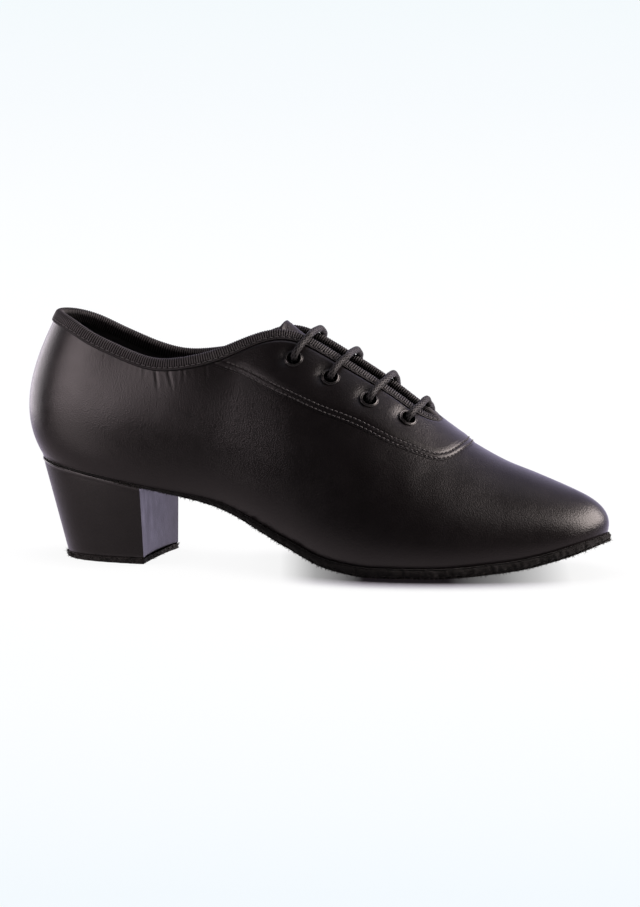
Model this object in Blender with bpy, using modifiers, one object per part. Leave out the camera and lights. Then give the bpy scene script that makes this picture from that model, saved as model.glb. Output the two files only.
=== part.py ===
"""Ballroom dance shoe: a black leather lace-up with four pairs of eyelets, a Cuban heel and a suede sole.

Metres, +Z up, +X towards the toe, -Y the outer side and +Y the inner side of a right foot.
Every piece is worked out from one surface, the shoe's outside over its last.
"""
import math

import bmesh
import bpy
import numpy as np
from mathutils import Matrix, Vector

# Driving dimensions
GAP = 0.0003
TINY = 1e-9
WELD = 1e-6
WALL = 0.0018
FACING = 0.0007
FACING_LIFT = 0.0004
TAPE = 0.0006
TAPE_WIDTH = 0.0040
INSOLE = 0.0020
TONGUE = 0.0016
LIFT = 0.0026
LACE_RADIUS = 0.00185
EYELET_HOLE = 0.0029
EYELET_BARREL = 0.0033
EYELET_FLANGE = 0.0042
EYELET_LIP = 0.0005
EYELET_SIDES = 10
HOLE_SIDES = 12
HOLE_DEPTH = 0.012
SHARP_EDGE = math.radians(35)

# A point inside the shoe, from which every sheet faces away
INSIDE = (0.13, 0.0, 0.04)

# Height up a rib past which the ribs run too close together for a direction of their own
NEAR_CREST = 0.985

# Length of the line along the middle of the sole and the insole, as a share of their own
SPINE = 0.90

# Middle of the shoe's box, measured from the back of the heel seat
CENTRE = (0.1301, 0.0004)

# Sections of the last from the heel's back to the toe's tip, one row each.
# x, axis: place of the feather line and of the middle line; outer, inner: half widths to either side
# lean, rise: handle of the wall above the feather line; crest_x, crest_half: top of the section
# crown, drop: handle below the top
SECTION_COLUMNS = ("x", "axis", "outer", "inner", "lean", "rise", "crest_x", "crest_half", "crown", "drop")
SECTIONS = {
    "heel_back": (0.0034, 0.000, 0.0000, 0.0000, 0.0190, 0.030, 0.0405, 0.008, 0.0190, 0.042),
    "heel_corner": (0.0098, 0.000, 0.0165, 0.0165, 0.0165, 0.030, 0.0440, 0.008, 0.0125, 0.042),
    "heel_side": (0.0330, 0.000, 0.0270, 0.0270, 0.0100, 0.031, 0.057, 0.008, 0.0040, 0.042),
    "seat_front": (0.0620, 0.000, 0.0280, 0.0280, 0.0085, 0.032, 0.080, 0.006, 0.0100, 0.036),
    "waist": (0.0960, -0.001, 0.0275, 0.0250, 0.0120, 0.028, 0.108, 0.000, 0.0170, 0.023),
    "instep": (0.1300, -0.001, 0.0335, 0.0305, 0.0130, 0.026, 0.134, 0.000, 0.0235, 0.007),
    "ball": (0.1680, 0.000, 0.0405, 0.0400, 0.0100, 0.022, 0.165, 0.000, 0.0255, 0.000),
    "toe_joint": (0.2040, 0.002, 0.0360, 0.0378, 0.0065, 0.017, 0.197, 0.000, 0.0245, 0.000),
    "toe_side": (0.2360, 0.005, 0.0258, 0.0268, 0.0042, 0.012, 0.228, 0.000, 0.0200, 0.000),
    "toe_corner": (0.2557, 0.006, 0.0140, 0.0142, 0.0030, 0.009, 0.242, 0.000, 0.0135, 0.000),
    "toe_tip": (0.2620, 0.006, 0.0000, 0.0000, 0.0025, 0.009, 0.246, 0.000, 0.0120, 0.000),
}

# Height of the last's top line over its place along the shoe
CREST = {
    "x": (0.040, 0.080, 0.108, 0.134, 0.165, 0.188, 0.197, 0.215, 0.228, 0.246),
    "z": (0.1500, 0.1395, 0.1225, 0.1040, 0.0827, 0.0652, 0.0591, 0.0492, 0.0443, 0.0373),
}

# The sole along the shoe: height of its lower edge, thickness, reach past the feather line, and how far
# its middle bulges below the edge
SOLE = {
    "x": (0.000, 0.058, 0.092, 0.126, 0.148, 0.168, 0.192, 0.226, 0.264),
    "bottom": (0.0452, 0.0346, 0.0280, 0.0126, 0.0039, 0.0014, 0.0014, 0.0042, 0.0142),
    "thick": (0.0012, 0.0016, 0.0027, 0.0036, 0.0040, 0.0042, 0.0042, 0.0044, 0.0044),
    "welt": (-0.0002, 0.0000, 0.0008, 0.0014, 0.0017, 0.0019, 0.0020, 0.0018, 0.0009),
    "bulge": (0.0000, 0.0000, 0.0003, 0.0010, 0.0020, 0.0024, 0.0024, 0.0014, 0.0006),
}

# Lines on the surface: way is 0 at the heel's back and 1 at the toe's tip, height is 0 at the feather
# line and 1 at the crest. Past the last row a line closes over the crest in a round end.
TOP_LINE = {
    "way": (0.0, 0.055, 0.10, 0.135, 0.175, 0.22, 0.27, 0.32, 0.36, 0.40, 0.44, 0.49, 0.58, 0.655),
    "height": (
        (0.630, 0.623, 0.588, 0.566, 0.544, 0.531, 0.564)
        + (0.636, 0.718, 0.791, 0.843, 0.875, 0.886, 0.908)
    ),
    "end": 0.706,
}
SEAM_LINE = {
    "way": (0.322, 0.366, 0.436, 0.499, 0.554, 0.603, 0.648, 0.683),
    "height": (0.574, 0.576, 0.568, 0.573, 0.585, 0.596, 0.601, 0.622),
    "end": 0.7675,
}
FACING_START = 0.318
EYELETS = {
    "way": (0.467, 0.540, 0.606, 0.664),
    "height": (0.733, 0.743, 0.743, 0.783),
}
EYELET_SKEW = 0.014

# Ways at which the columns change their spacing, and steps along the top line when it is measured
HEEL_BEND = 0.10
QUARTER_FRONT = 0.44
TOE_BEND = 0.87
LINE_STEPS = 160
LINE_END_STEPS = 40

# Shares of a rib at which the upper has its rows, closer together under the tape
UPPER_ROWS = (0.0, 0.12, 0.25, 0.39, 0.53, 0.67, 0.79, 0.88, 0.945, 1.0)
FACING_ROWS = 4

# The tongue along the shoe: height of its middle line, half width, and bend across
TONGUE_SHEET = {
    "x": (0.1168, 0.1185, 0.122, 0.128, 0.136, 0.150, 0.165, 0.176, 0.186, 0.195, 0.206),
    "z": (0.1086, 0.1074, 0.1047, 0.1004, 0.0953, 0.0869, 0.0771, 0.0695, 0.0614, 0.0555, 0.0510),
    "half": (0.0050, 0.0105, 0.0150, 0.0182, 0.0195, 0.0195, 0.0185, 0.0172, 0.0160, 0.0150, 0.0140),
    "bend": (140, 135, 106, 66, 45, 33, 28, 28, 30, 30, 30),
}
TONGUE_COLUMNS = 13
TONGUE_ROWS = 8

# The heel block: its breast along the shoe and its size at the top and at the lift
HEEL = {
    "breast_top": 0.0572,
    "breast_low": 0.0580,
    "back_low": 0.0153,
    "width_low": 0.0500,
    "hollow": 0.0010,
}
HEEL_LEVELS = 5
HEEL_COLUMNS = 12
BREAST_COLUMNS = 6

# A lace bar from its eyelet to the edge of the throat: share of the way, and height over the surface
BAR_RISE = {
    "way": (0.00, 0.00, 0.06, 0.20, 0.45, 0.75, 1.00),
    "height": (-0.0010, 0.0014, 0.0028, 0.0039, 0.0042, 0.0043, 0.0042),
}

# How far a bar runs towards the toe between its eyelet and the edge, as a way
BAR_SLANT = {"outer": 0.012, "inner": 0.004}
BAR_POINTS = 12

COLOURS = {
    "calf": ((0.012, 0.012, 0.013), 0.42, 0.0),
    "grosgrain": ((0.010, 0.010, 0.011), 0.85, 0.0),
    "suede": ((0.020, 0.018, 0.018), 0.95, 0.0),
    "footbed": ((0.030, 0.029, 0.030), 0.70, 0.0),
    "cord": ((0.008, 0.008, 0.009), 0.80, 0.0),
    "metal": ((0.020, 0.020, 0.022), 0.30, 0.8),
}


def smooth(places, values, x, slope=False):
    """Monotone cubic through a table, or its slope."""
    places = np.asarray(places, float)
    values = np.asarray(values, float)
    x = np.clip(np.asarray(x, float), places[0], places[-1])
    step = np.diff(places)
    rise = np.diff(values) / step
    grade = np.concatenate([rise[:1], np.zeros(len(rise) - 1), rise[-1:]])
    same_way = rise[:-1] * rise[1:] > 0
    inner = np.zeros(len(rise) - 1)
    inner[same_way] = 2.0 / (1.0 / rise[:-1][same_way] + 1.0 / rise[1:][same_way])
    grade[1:-1] = inner
    i = np.clip(np.searchsorted(places, x) - 1, 0, len(step) - 1)
    h = step[i]
    s = (x - places[i]) / h
    low, high = values[i], values[i + 1]
    if slope:
        return (6 * s**2 - 6 * s) * (low - high) / h + (3 * s**2 - 4 * s + 1) * grade[i] + (
            3 * s**2 - 2 * s
        ) * grade[i + 1]
    value = (2 * s**3 - 3 * s**2 + 1) * low + (3 * s**2 - 2 * s**3) * high
    return value + h * ((s**3 - 2 * s**2 + s) * grade[i] + (s**3 - s**2) * grade[i + 1])


class RingSpline:
    """Cubic spline through values round a closed ring of knots."""

    def __init__(self, knots, values, period):
        self.period = period
        self.knots = np.append(knots, knots[0] + period)
        self.values = np.concatenate([values, values[:1]])
        self.steps = np.diff(self.knots)
        count = len(self.steps)
        system = np.zeros((count, count))
        right = np.zeros(values.shape)
        for i in range(count):
            before = (i - 1) % count
            after = (i + 1) % count
            system[i, before] += self.steps[before]
            system[i, i] += 2 * (self.steps[before] + self.steps[i])
            system[i, after] += self.steps[i]
            ahead = (values[after] - values[i]) / self.steps[i]
            behind = (values[i] - values[before]) / self.steps[before]
            right[i] = 6 * (ahead - behind)
        bends = np.linalg.solve(system, right)
        self.bends = np.concatenate([bends, bends[:1]])

    def __call__(self, u, slope=False):
        u = np.mod(np.asarray(u, float) - self.knots[0], self.period) + self.knots[0]
        i = np.clip(np.searchsorted(self.knots, u, side="right") - 1, 0, len(self.steps) - 1)
        h = self.steps[i][..., None]
        b = (u - self.knots[i])[..., None] / h
        a = 1 - b
        low, high = self.values[i], self.values[i + 1]
        bend_low, bend_high = self.bends[i], self.bends[i + 1]
        if slope:
            return (high - low) / h + ((1 - 3 * a**2) * bend_low + (3 * b**2 - 1) * bend_high) * h / 6
        return a * low + b * high + ((a**3 - a) * bend_low + (b**3 - b) * bend_high) * h**2 / 6


def ring_of_sections():
    """Splines of the feather line and of the other section sizes round the shoe, and a table of the rest.

    The way u runs from 0 at the heel's back to 1 at the toe's tip, positive on the outer side and negative
    on the inner side.
    """
    table = np.array(list(SECTIONS.values()))
    size = {name: table[:, i] for i, name in enumerate(SECTION_COLUMNS)}
    mean_half = (size["outer"] + size["inner"]) / 2
    chords = np.hypot(np.diff(size["x"]), np.diff(mean_half))
    way = np.concatenate([[0.0], np.cumsum(chords)]) / chords.sum()
    knots = np.concatenate([way, 2 - way[-2:0:-1]])

    def both_sides(outer_side, inner_side):
        return np.concatenate([outer_side, inner_side[-2:0:-1]])

    outline = np.stack(
        [
            both_sides(size["x"], size["x"]),
            both_sides(size["axis"] - size["outer"], size["axis"] + size["inner"]),
        ],
        axis=1,
    )
    shared = ("axis", "lean", "rise", "crest_x", "crown")
    sizes = np.stack([both_sides(size[name], size[name]) for name in shared], axis=1)
    top = {"way": way, "crest_half": size["crest_half"], "drop": size["drop"]}
    return RingSpline(knots, outline, 2.0), RingSpline(knots, sizes, 2.0), top


OUTLINE, SIZES, TOP = ring_of_sections()


def sole_size(name, x):
    return smooth(SOLE["x"], SOLE[name], x)


def sole_top(x):
    return sole_size("bottom", x) + sole_size("thick", x)


def outward(u):
    """Unit direction in plan, square to the feather line."""
    along = OUTLINE(u, slope=True)
    along = along / np.linalg.norm(along, axis=-1, keepdims=True)
    return np.stack([along[..., 1], -along[..., 0]], axis=-1)


def surface(u, t):
    """Point of the shoe's outside: a cubic rib from the feather line up to the crest."""
    u, t = np.broadcast_arrays(np.asarray(u, float), np.asarray(t, float))
    foot = OUTLINE(u)
    out = outward(u)
    axis, lean, rise, crest_x, crown = np.moveaxis(SIZES(u), -1, 0)
    crest_half = smooth(TOP["way"], TOP["crest_half"], np.abs(u))
    drop = smooth(TOP["way"], TOP["drop"], np.abs(u))
    crest_z = smooth(CREST["x"], CREST["z"], crest_x)
    crest_slope = smooth(CREST["x"], CREST["z"], crest_x, slope=True)
    feather = np.stack([foot[..., 0], foot[..., 1], sole_top(foot[..., 0]) + GAP], axis=-1)
    wall = feather + np.stack([out[..., 0] * lean, out[..., 1] * lean, rise], axis=-1)
    crest_y = axis + out[..., 1] * crest_half
    crest = np.stack([crest_x + out[..., 0] * crest_half, crest_y, crest_z], axis=-1)
    fall = crest_slope * out[..., 0] * crown - drop
    shoulder = crest + np.stack([out[..., 0] * crown, out[..., 1] * crown, fall], axis=-1)
    t = t[..., None]
    s = 1 - t
    return s**3 * feather + 3 * s**2 * t * wall + 3 * s * t**2 * shoulder + t**3 * crest


def tangents(u, t):
    """The surface's directions along the way and up the rib."""
    step = 1e-4
    t = np.clip(t, step, 1 - step)
    along = (surface(u + step, t) - surface(u - step, t)) / (2 * step)
    up = (surface(u, t + step) - surface(u, t - step)) / (2 * step)
    return along, up


def normal(u, t):
    """Outward unit normal, kept just off the crest's end, where the ribs meet in a point."""
    along, up = tangents(u, np.minimum(t, NEAR_CREST))
    square = np.cross(along, up)
    return square / np.linalg.norm(square, axis=-1, keepdims=True)


def shell_point(u, t, height):
    """Point at a height over the surface."""
    height = np.asarray(height, float)[..., None]
    return surface(u, t) + normal(u, t) * height


def line_height(line, u):
    """Height of a line on the surface, with its round end over the crest."""
    rows = np.array(line["way"])
    heights = np.array(line["height"])
    start, end = rows[0], line["end"]
    way = np.clip(np.abs(np.asarray(u, float)), start, end)
    there_and_back = np.concatenate([rows, 2 * end - rows[:0:-1]])
    values = np.concatenate([heights, heights[:0:-1]])
    ring = RingSpline(there_and_back, values[:, None], 2 * (end - start))
    share = np.maximum((way - rows[-1]) / (end - rows[-1]), 0)
    return 1 - (1 - ring(way)[..., 0]) * (1 - share**3)


def walk(u, t, direction, distance, steps=4):
    """Place reached on the surface after a distance in a direction."""
    u = np.array(u, float)
    t = np.array(t, float)
    stride = distance / steps
    for _ in range(steps):
        along, up = tangents(u, t)
        e = np.sum(along * along, axis=-1)
        f = np.sum(along * up, axis=-1)
        g = np.sum(up * up, axis=-1)
        p = np.sum(direction * along, axis=-1)
        q = np.sum(direction * up, axis=-1)
        det = e * g - f * f
        u = u + stride * (g * p - f * q) / det
        t = np.minimum(t + stride * (e * q - f * p) / det, 1.0)
    return u, t


def stretch(start, end, count, closes):
    """Ways after start up to end, closer together towards an end where a line closes over the crest."""
    share = np.arange(1, count + 1) / count
    if closes:
        share = np.sin(share * math.pi / 2)
    return start + (end - start) * share


def both_ways(half):
    """A closed ring of ways from the inner side over the heel's back to the outer side."""
    return np.concatenate([-half[:0:-1], half])


def top_line_ring():
    """Ways all round the top line, closer together at the throat's end."""
    last_row, end = TOP_LINE["way"][-1], TOP_LINE["end"]
    sides = stretch(0.0, last_row, LINE_STEPS, False)
    throat = stretch(last_row, end, LINE_END_STEPS, True)
    return both_ways(np.concatenate([[0.0], sides, throat]))[1:]


def top_line_frame(ways):
    """Heights of the top line at some ways, and the direction on the surface straight down from it."""
    ring = top_line_ring()
    heights = line_height(TOP_LINE, ring)
    points = surface(ring, heights)
    along = np.roll(points, -1, axis=0) - np.roll(points, 1, axis=0)
    along = along / np.linalg.norm(along, axis=-1, keepdims=True)
    down = np.cross(along, normal(ring, heights))
    down = np.stack([np.interp(ways, ring, down[:, i]) for i in range(3)], axis=-1)
    return line_height(TOP_LINE, ways), down / np.linalg.norm(down, axis=-1, keepdims=True)


def tape_edge(width):
    """Ways and heights of a line that keeps a distance from the top line."""
    ring = top_line_ring()
    heights, down = top_line_frame(ring)
    return walk(ring, heights, down, width)


def half_columns():
    """Ways of the columns on one side from heel to toe, with one at the end of each line."""
    tape_front = tape_edge(TAPE_WIDTH + GAP)[0].max()
    stretches = (
        (HEEL_BEND, 5, False),
        (FACING_START, 6, False),
        (QUARTER_FRONT, 4, False),
        (TOP_LINE["way"][-1], 7, False),
        (TOP_LINE["end"], 4, True),
        (tape_front, 4, True),
        (SEAM_LINE["end"], 5, True),
        (TOE_BEND, 4, False),
        (1.0, 6, False),
    )
    ways = [0.0]
    for end, count, closes in stretches:
        ways += list(stretch(ways[-1], end, count, closes))
    return np.array(ways)


def collections():
    parts = bpy.data.collections.new("ballroom_dance_shoe")
    cutters = bpy.data.collections.new("cutters")
    bpy.context.scene.collection.children.link(parts)
    bpy.context.scene.collection.children.link(cutters)
    return parts, cutters


def make_material(name):
    colour, roughness, metallic = COLOURS[name]
    material = bpy.data.materials.new(name)
    material.use_nodes = True
    shader = material.node_tree.nodes["Principled BSDF"]
    shader.inputs["Base Color"].default_value = (*colour, 1.0)
    shader.inputs["Roughness"].default_value = roughness
    shader.inputs["Metallic"].default_value = metallic
    return material


def add_piece(name, data, material, collection, root):
    """An object of the shoe, parented to its root."""
    piece = bpy.data.objects.new(name, data)
    piece.parent = root
    if material.name not in data.materials:
        data.materials.append(material)
    collection.objects.link(piece)
    return piece


def loft(grid, ring=False, tube=False, into=None):
    """Quads of a grid of points, columns by rows, closed along either or both, as a new or a given mesh."""
    columns, rows = grid.shape[:2]
    shape = into or bmesh.new()
    points = [[shape.verts.new(point) for point in column] for column in grid]
    for i in range(columns if ring else columns - 1):
        here, there = points[i], points[(i + 1) % columns]
        for j in range(rows if tube else rows - 1):
            k = (j + 1) % rows
            shape.faces.new((here[j], there[j], there[k], here[k]))
    return shape


def as_mesh(name, shape):
    """A mesh of a finished shape, shaded smooth between its sharp edges."""
    mesh = bpy.data.meshes.new(name)
    shape.to_mesh(mesh)
    shape.free()
    mesh.shade_smooth()
    mesh.set_sharp_from_angle(angle=SHARP_EDGE)
    return mesh


def finish_mesh(name, shape):
    """Weld the seams of a closed loft and point its faces out."""
    bmesh.ops.remove_doubles(shape, verts=shape.verts, dist=WELD)
    bmesh.ops.recalc_face_normals(shape, faces=shape.faces)
    return as_mesh(name, shape)


def face_outward(shape, centre):
    """Turn an open sheet's faces away from a point inside the shoe."""
    bmesh.ops.recalc_face_normals(shape, faces=shape.faces)
    shape.normal_update()
    balance = sum(face.normal.dot(face.calc_center_median() - centre) for face in shape.faces)
    if balance < 0:
        bmesh.ops.reverse_faces(shape, faces=shape.faces)


def finish_sheet(name, shape):
    """Weld an open sheet and turn it away from the middle of the shoe."""
    bmesh.ops.remove_doubles(shape, verts=shape.verts, dist=WELD)
    face_outward(shape, Vector(INSIDE))
    return as_mesh(name, shape)


def thicken(piece, thickness, side):
    """Give a sheet its thickness: side is 1 outwards and -1 inwards."""
    solidify = piece.modifiers.new("wall", "SOLIDIFY")
    solidify.thickness = thickness
    solidify.offset = side
    solidify.use_even_offset = True
    solidify.use_quality_normals = True


def upper_mesh(half):
    """The outside of the upper, open at the collar, the throat and underneath."""
    ways = both_ways(half)[1:]
    top = line_height(TOP_LINE, ways)
    grid = surface(ways[:, None], top[:, None] * np.array(UPPER_ROWS))
    return finish_sheet("upper", loft(grid, ring=True))


def sole_grid(half, edge_inset, share_rows):
    """Plan of a sheet inside the feather line: from its edge to a spine along the middle."""
    ways = both_ways(half)[1:]
    foot = OUTLINE(ways)
    reach = sole_size("welt", foot[:, 0]) if edge_inset is None else -edge_inset
    edge = foot + outward(ways) * np.reshape(reach, (-1, 1))
    axis = SIZES(ways)[:, 0]
    back, front = foot[:, 0].min(), foot[:, 0].max()
    middle = (back + front) / 2
    spine = np.stack([middle + (foot[:, 0] - middle) * SPINE, axis], axis=-1)
    shares = np.asarray(share_rows)[None, :, None]
    return spine[:, None] + (edge - spine)[:, None] * shares


def outsole_mesh(half):
    """One sole from heel seat to toe, flat where it treads."""
    shares = (1.0, 0.82, 0.50, 0.0)
    plan = sole_grid(half, None, shares)
    x = plan[..., 0]
    top = np.concatenate([plan, sole_top(x)[..., None]], axis=-1)[:, [-1, -2, 0]]
    bulge = sole_size("bulge", x) * (1 - np.asarray(shares) ** 2)
    bottom_z = np.maximum(sole_size("bottom", x) - bulge, 0.0)
    bottom = np.concatenate([plan, bottom_z[..., None]], axis=-1)
    grid = np.concatenate([top, bottom], axis=1)
    return finish_mesh("outsole", loft(grid, ring=True))


def insole_mesh(half):
    """The footbed inside the upper, lying on the sole."""
    inset = WALL + 2 * GAP
    plan = sole_grid(half, inset, (1.0, 0.0))
    low = sole_top(plan[..., 0]) + GAP
    bottom = np.concatenate([plan, low[..., None]], axis=-1)
    top = np.concatenate([plan, (low + INSOLE)[..., None]], axis=-1)
    grid = np.concatenate([top[:, ::-1], bottom], axis=1)
    return finish_mesh("insole", loft(grid, ring=True))


def tongue_mesh():
    """The tongue's upper face, bowed under the lacing and standing out of the throat."""
    row_x = TONGUE_SHEET["x"]
    x = np.interp(np.linspace(0, 1, TONGUE_COLUMNS), np.linspace(0, 1, len(row_x)), row_x)
    across = np.linspace(-1, 1, TONGUE_ROWS + 1)
    half, middle, bend = (smooth(row_x, TONGUE_SHEET[name], x) for name in ("half", "z", "bend"))
    y = half[:, None] * across
    z = middle[:, None] - bend[:, None] * y**2
    grid = np.stack([np.broadcast_to(x[:, None], y.shape), y, z], axis=-1)
    return finish_sheet("tongue", loft(grid))


def heel_ring(share):
    """Plan of the heel at a share of its height, from 0 at the sole to 1 at the lift."""
    reach = np.linspace(-1, 1, 2 * HEEL_COLUMNS + 1)
    back_ways = np.linspace(0.0, FACING_START, 200)
    seat_way = np.interp(HEEL["breast_top"], OUTLINE(back_ways)[:, 0], back_ways)
    ways = reach * seat_way
    seat = OUTLINE(ways) - outward(ways) * GAP
    back_top = seat[:, 0].min()
    wide_top = np.ptp(seat[:, 1])
    length = (HEEL["breast_low"] - HEEL["back_low"]) / (HEEL["breast_top"] - back_top)
    low_x = HEEL["back_low"] + (seat[:, 0] - back_top) * length
    low_y = seat[:, 1] * HEEL["width_low"] / wide_top
    wall = seat * (1 - share) + np.stack([low_x, low_y], axis=-1) * share
    across = np.linspace(0, 1, BREAST_COLUMNS + 1)[1:-1]
    breast = wall[-1] + (wall[0] - wall[-1]) * across[:, None]
    breast[:, 0] -= HEEL["hollow"] * 4 * across * (1 - across)
    return np.concatenate([wall, breast])


def cap_ring(shape, ring):
    """Close a heel ring with strips from side to side."""
    sides = 2 * HEEL_COLUMNS + 1
    wall = ring[:sides]
    breast = ring[sides:]
    for i in range(HEEL_COLUMNS - 1):
        j = sides - 1 - i
        if i == 0:
            shape.faces.new([wall[0], wall[1], wall[j - 1], wall[j]] + breast)
        else:
            shape.faces.new((wall[i], wall[i + 1], wall[j - 1], wall[j]))
    middle = HEEL_COLUMNS
    shape.faces.new((wall[middle - 1], wall[middle], wall[middle + 1]))


def block_mesh(name, rings):
    """A closed block through rings from top to bottom."""
    shape = loft(np.array(rings), tube=True)
    shape.verts.ensure_lookup_table()
    count = len(rings[0])
    verts = list(shape.verts)
    cap_ring(shape, verts[:count])
    cap_ring(shape, verts[-count:])
    bmesh.ops.triangulate(shape, faces=[face for face in shape.faces if len(face.verts) > 4])
    return finish_mesh(name, shape)


def heel_mesh():
    """The covered heel block, hollowed at its breast, up to the sole's curve."""
    low_z = LIFT + GAP
    rings = []
    for share in np.linspace(0, 1, HEEL_LEVELS):
        plan = heel_ring(share)
        seat = heel_ring(0.0)
        top_z = sole_size("bottom", seat[:, 0]) - GAP
        z = top_z + (low_z - top_z) * share
        rings.append(np.column_stack([plan, z]))
    return block_mesh("heel", rings)


def lift_mesh():
    """The top piece under the heel, flat on the floor."""
    plan = heel_ring(1.0)
    rings = [np.column_stack([plan, np.full(len(plan), z)]) for z in (LIFT, 0.0)]
    return block_mesh("heel_lift", rings)


def facing_grid(side, sign):
    """One flap of the eyestay's under face, from its seam up to the tape."""
    edge_way, edge_height = tape_edge(TAPE_WIDTH + GAP)
    edge_height = np.append(edge_height, 1.0)
    edge_way = np.append(sign * edge_way, edge_way.max())
    order = np.argsort(edge_way)
    tape = np.interp(side, edge_way[order], edge_height[order], right=1.0)
    seam = line_height(SEAM_LINE, side)
    shares = np.linspace(0, 1, FACING_ROWS + 1)
    heights = seam[:, None] + (tape - seam)[:, None] * shares
    return shell_point(sign * side[:, None], heights, np.full(heights.shape, FACING_LIFT))


def facing_mesh(half):
    """The eyestay's under face: two flaps that meet over the crest, ahead of the throat."""
    side = half[(half >= FACING_START - TINY) & (half <= SEAM_LINE["end"] + TINY)]
    flaps = [facing_grid(side, sign) for sign in (1, -1)]
    ahead = side >= tape_edge(TAPE_WIDTH + GAP)[0].max() - TINY
    ridge = (flaps[0][ahead, -1] + flaps[1][ahead, -1]) / 2
    shape = bmesh.new()
    for grid in flaps:
        grid[ahead, -1] = ridge
        loft(grid, into=shape)
    return finish_sheet("facing", shape)


def binding_mesh(half):
    """The inside of the tape folded round the top line, one closed loop."""
    ways = both_ways(half[half <= TOP_LINE["end"] + TINY])[1:]
    heights, down = top_line_frame(ways)
    out = normal(ways, heights)
    edge = surface(ways, heights)
    fold = WALL / 2 + 1.5 * GAP
    columns = []
    legs = (TAPE_WIDTH, TAPE_WIDTH / 2, 0.0)
    for distance in legs:
        columns.append(shell_point(*walk(ways, heights, down, distance), np.full(len(ways), GAP)))
    for angle in (math.pi / 4, math.pi / 2, 3 * math.pi / 4):
        reach = -down * fold * math.sin(angle)
        columns.append(edge + reach + out * (fold * math.cos(angle) - (WALL + GAP) / 2))
    for distance in reversed(legs):
        deep = np.full(len(ways), -WALL - 2 * GAP)
        columns.append(shell_point(*walk(ways, heights, down, distance), deep))
    return finish_sheet("binding", loft(np.stack(columns, axis=1), ring=True))


def eyelet_places():
    """Name, way and height of each eyelet, counted from the collar down."""
    places = []
    for side, sign, skew in (("lateral", 1, 0.0), ("medial", -1, EYELET_SKEW)):
        for i, (way, height) in enumerate(zip(EYELETS["way"], EYELETS["height"])):
            places.append((f"{side}_{i + 1}", sign * (way + skew), height))
    return places


def eyelet_matrix(way, height):
    """Frame on the surface with its third axis pointing out of the shoe."""
    out = Vector(normal(way, height))
    turn = out.to_track_quat("Z", "Y")
    return Matrix.Translation(Vector(surface(way, height))) @ turn.to_matrix().to_4x4()


def eyelet_profile():
    """Half section of an eyelet: a rolled flange over a short barrel."""
    seat = FACING_LIFT + FACING + GAP
    foot = -WALL - GAP
    section = (
        (EYELET_HOLE, seat + 0.5 * EYELET_LIP),
        (0.5 * (EYELET_HOLE + EYELET_BARREL), seat + EYELET_LIP),
        (EYELET_FLANGE - 0.6 * EYELET_LIP, seat + EYELET_LIP),
        (EYELET_FLANGE, seat + 0.4 * EYELET_LIP),
        (EYELET_FLANGE, seat),
        (EYELET_BARREL, seat),
        (EYELET_BARREL, foot),
        (EYELET_HOLE, foot),
    )
    mesh = bpy.data.meshes.new("eyelet")
    loop = [(i, (i + 1) % len(section)) for i in range(len(section))]
    mesh.from_pydata([(r, 0.0, z) for r, z in section], loop, [])
    return mesh


def turn_profile(piece):
    screw = piece.modifiers.new("turn", "SCREW")
    screw.steps = EYELET_SIDES
    screw.render_steps = EYELET_SIDES
    screw.use_merge_vertices = True
    screw.merge_threshold = 1e-5
    screw.use_smooth_shade = True


def eyelet_cutter(name, matrix, cutters, root):
    """Round cutter for an eyelet's hole through facing and upper."""
    shape = bmesh.new()
    radius = EYELET_BARREL + GAP
    bmesh.ops.create_cone(
        shape, cap_ends=True, segments=HOLE_SIDES, radius1=radius, radius2=radius, depth=HOLE_DEPTH
    )
    mesh = bpy.data.meshes.new(name)
    shape.to_mesh(mesh)
    shape.free()
    cutter = bpy.data.objects.new(name, mesh)
    cutter.parent = root
    cutter.matrix_local = matrix
    cutter.hide_render = True
    cutter.display_type = "WIRE"
    cutters.objects.link(cutter)


def cut_holes(piece, cutters):
    holes = piece.modifiers.new("eyelet_holes", "BOOLEAN")
    holes.operation = "DIFFERENCE"
    holes.solver = "EXACT"
    holes.operand_type = "COLLECTION"
    holes.collection = cutters


def bar_route(index):
    """Middle line of a lace bar from eyelet to eyelet over the throat, slanting towards the toe."""
    shares = np.array(BAR_RISE["way"])
    lifts = np.array(BAR_RISE["height"])
    ends = []
    for sign, skew, side in ((1, 0.0, "outer"), (-1, EYELET_SKEW, "inner")):
        ways = sign * (EYELETS["way"][index] + skew + BAR_SLANT[side] * shares)
        low = EYELETS["height"][index]
        rim = line_height(TOP_LINE, ways)
        ends.append(shell_point(ways, low + (rim - low) * shares, lifts))
    corners = np.concatenate([ends[0], ends[1][::-1]])
    lengths = np.concatenate([[0.0], np.cumsum(np.linalg.norm(np.diff(corners, axis=0), axis=1))])
    even = np.linspace(0, lengths[-1], BAR_POINTS)
    return np.stack([smooth(lengths, corners[:, i], even) for i in range(3)], axis=1)


def lace_bar(index, material, collection, root):
    curve = bpy.data.curves.new(f"lace_bar_{index + 1}", "CURVE")
    curve.dimensions = "3D"
    curve.bevel_depth = LACE_RADIUS
    curve.bevel_resolution = 2
    curve.use_fill_caps = True
    route = bar_route(index)
    spline = curve.splines.new("POLY")
    spline.points.add(len(route) - 1)
    for point, place in zip(spline.points, route):
        point.co = (*place, 1.0)
    return add_piece(curve.name, curve, material, collection, root)


def clear_scene():
    for old in list(bpy.data.objects):
        bpy.data.objects.remove(old, do_unlink=True)


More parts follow.
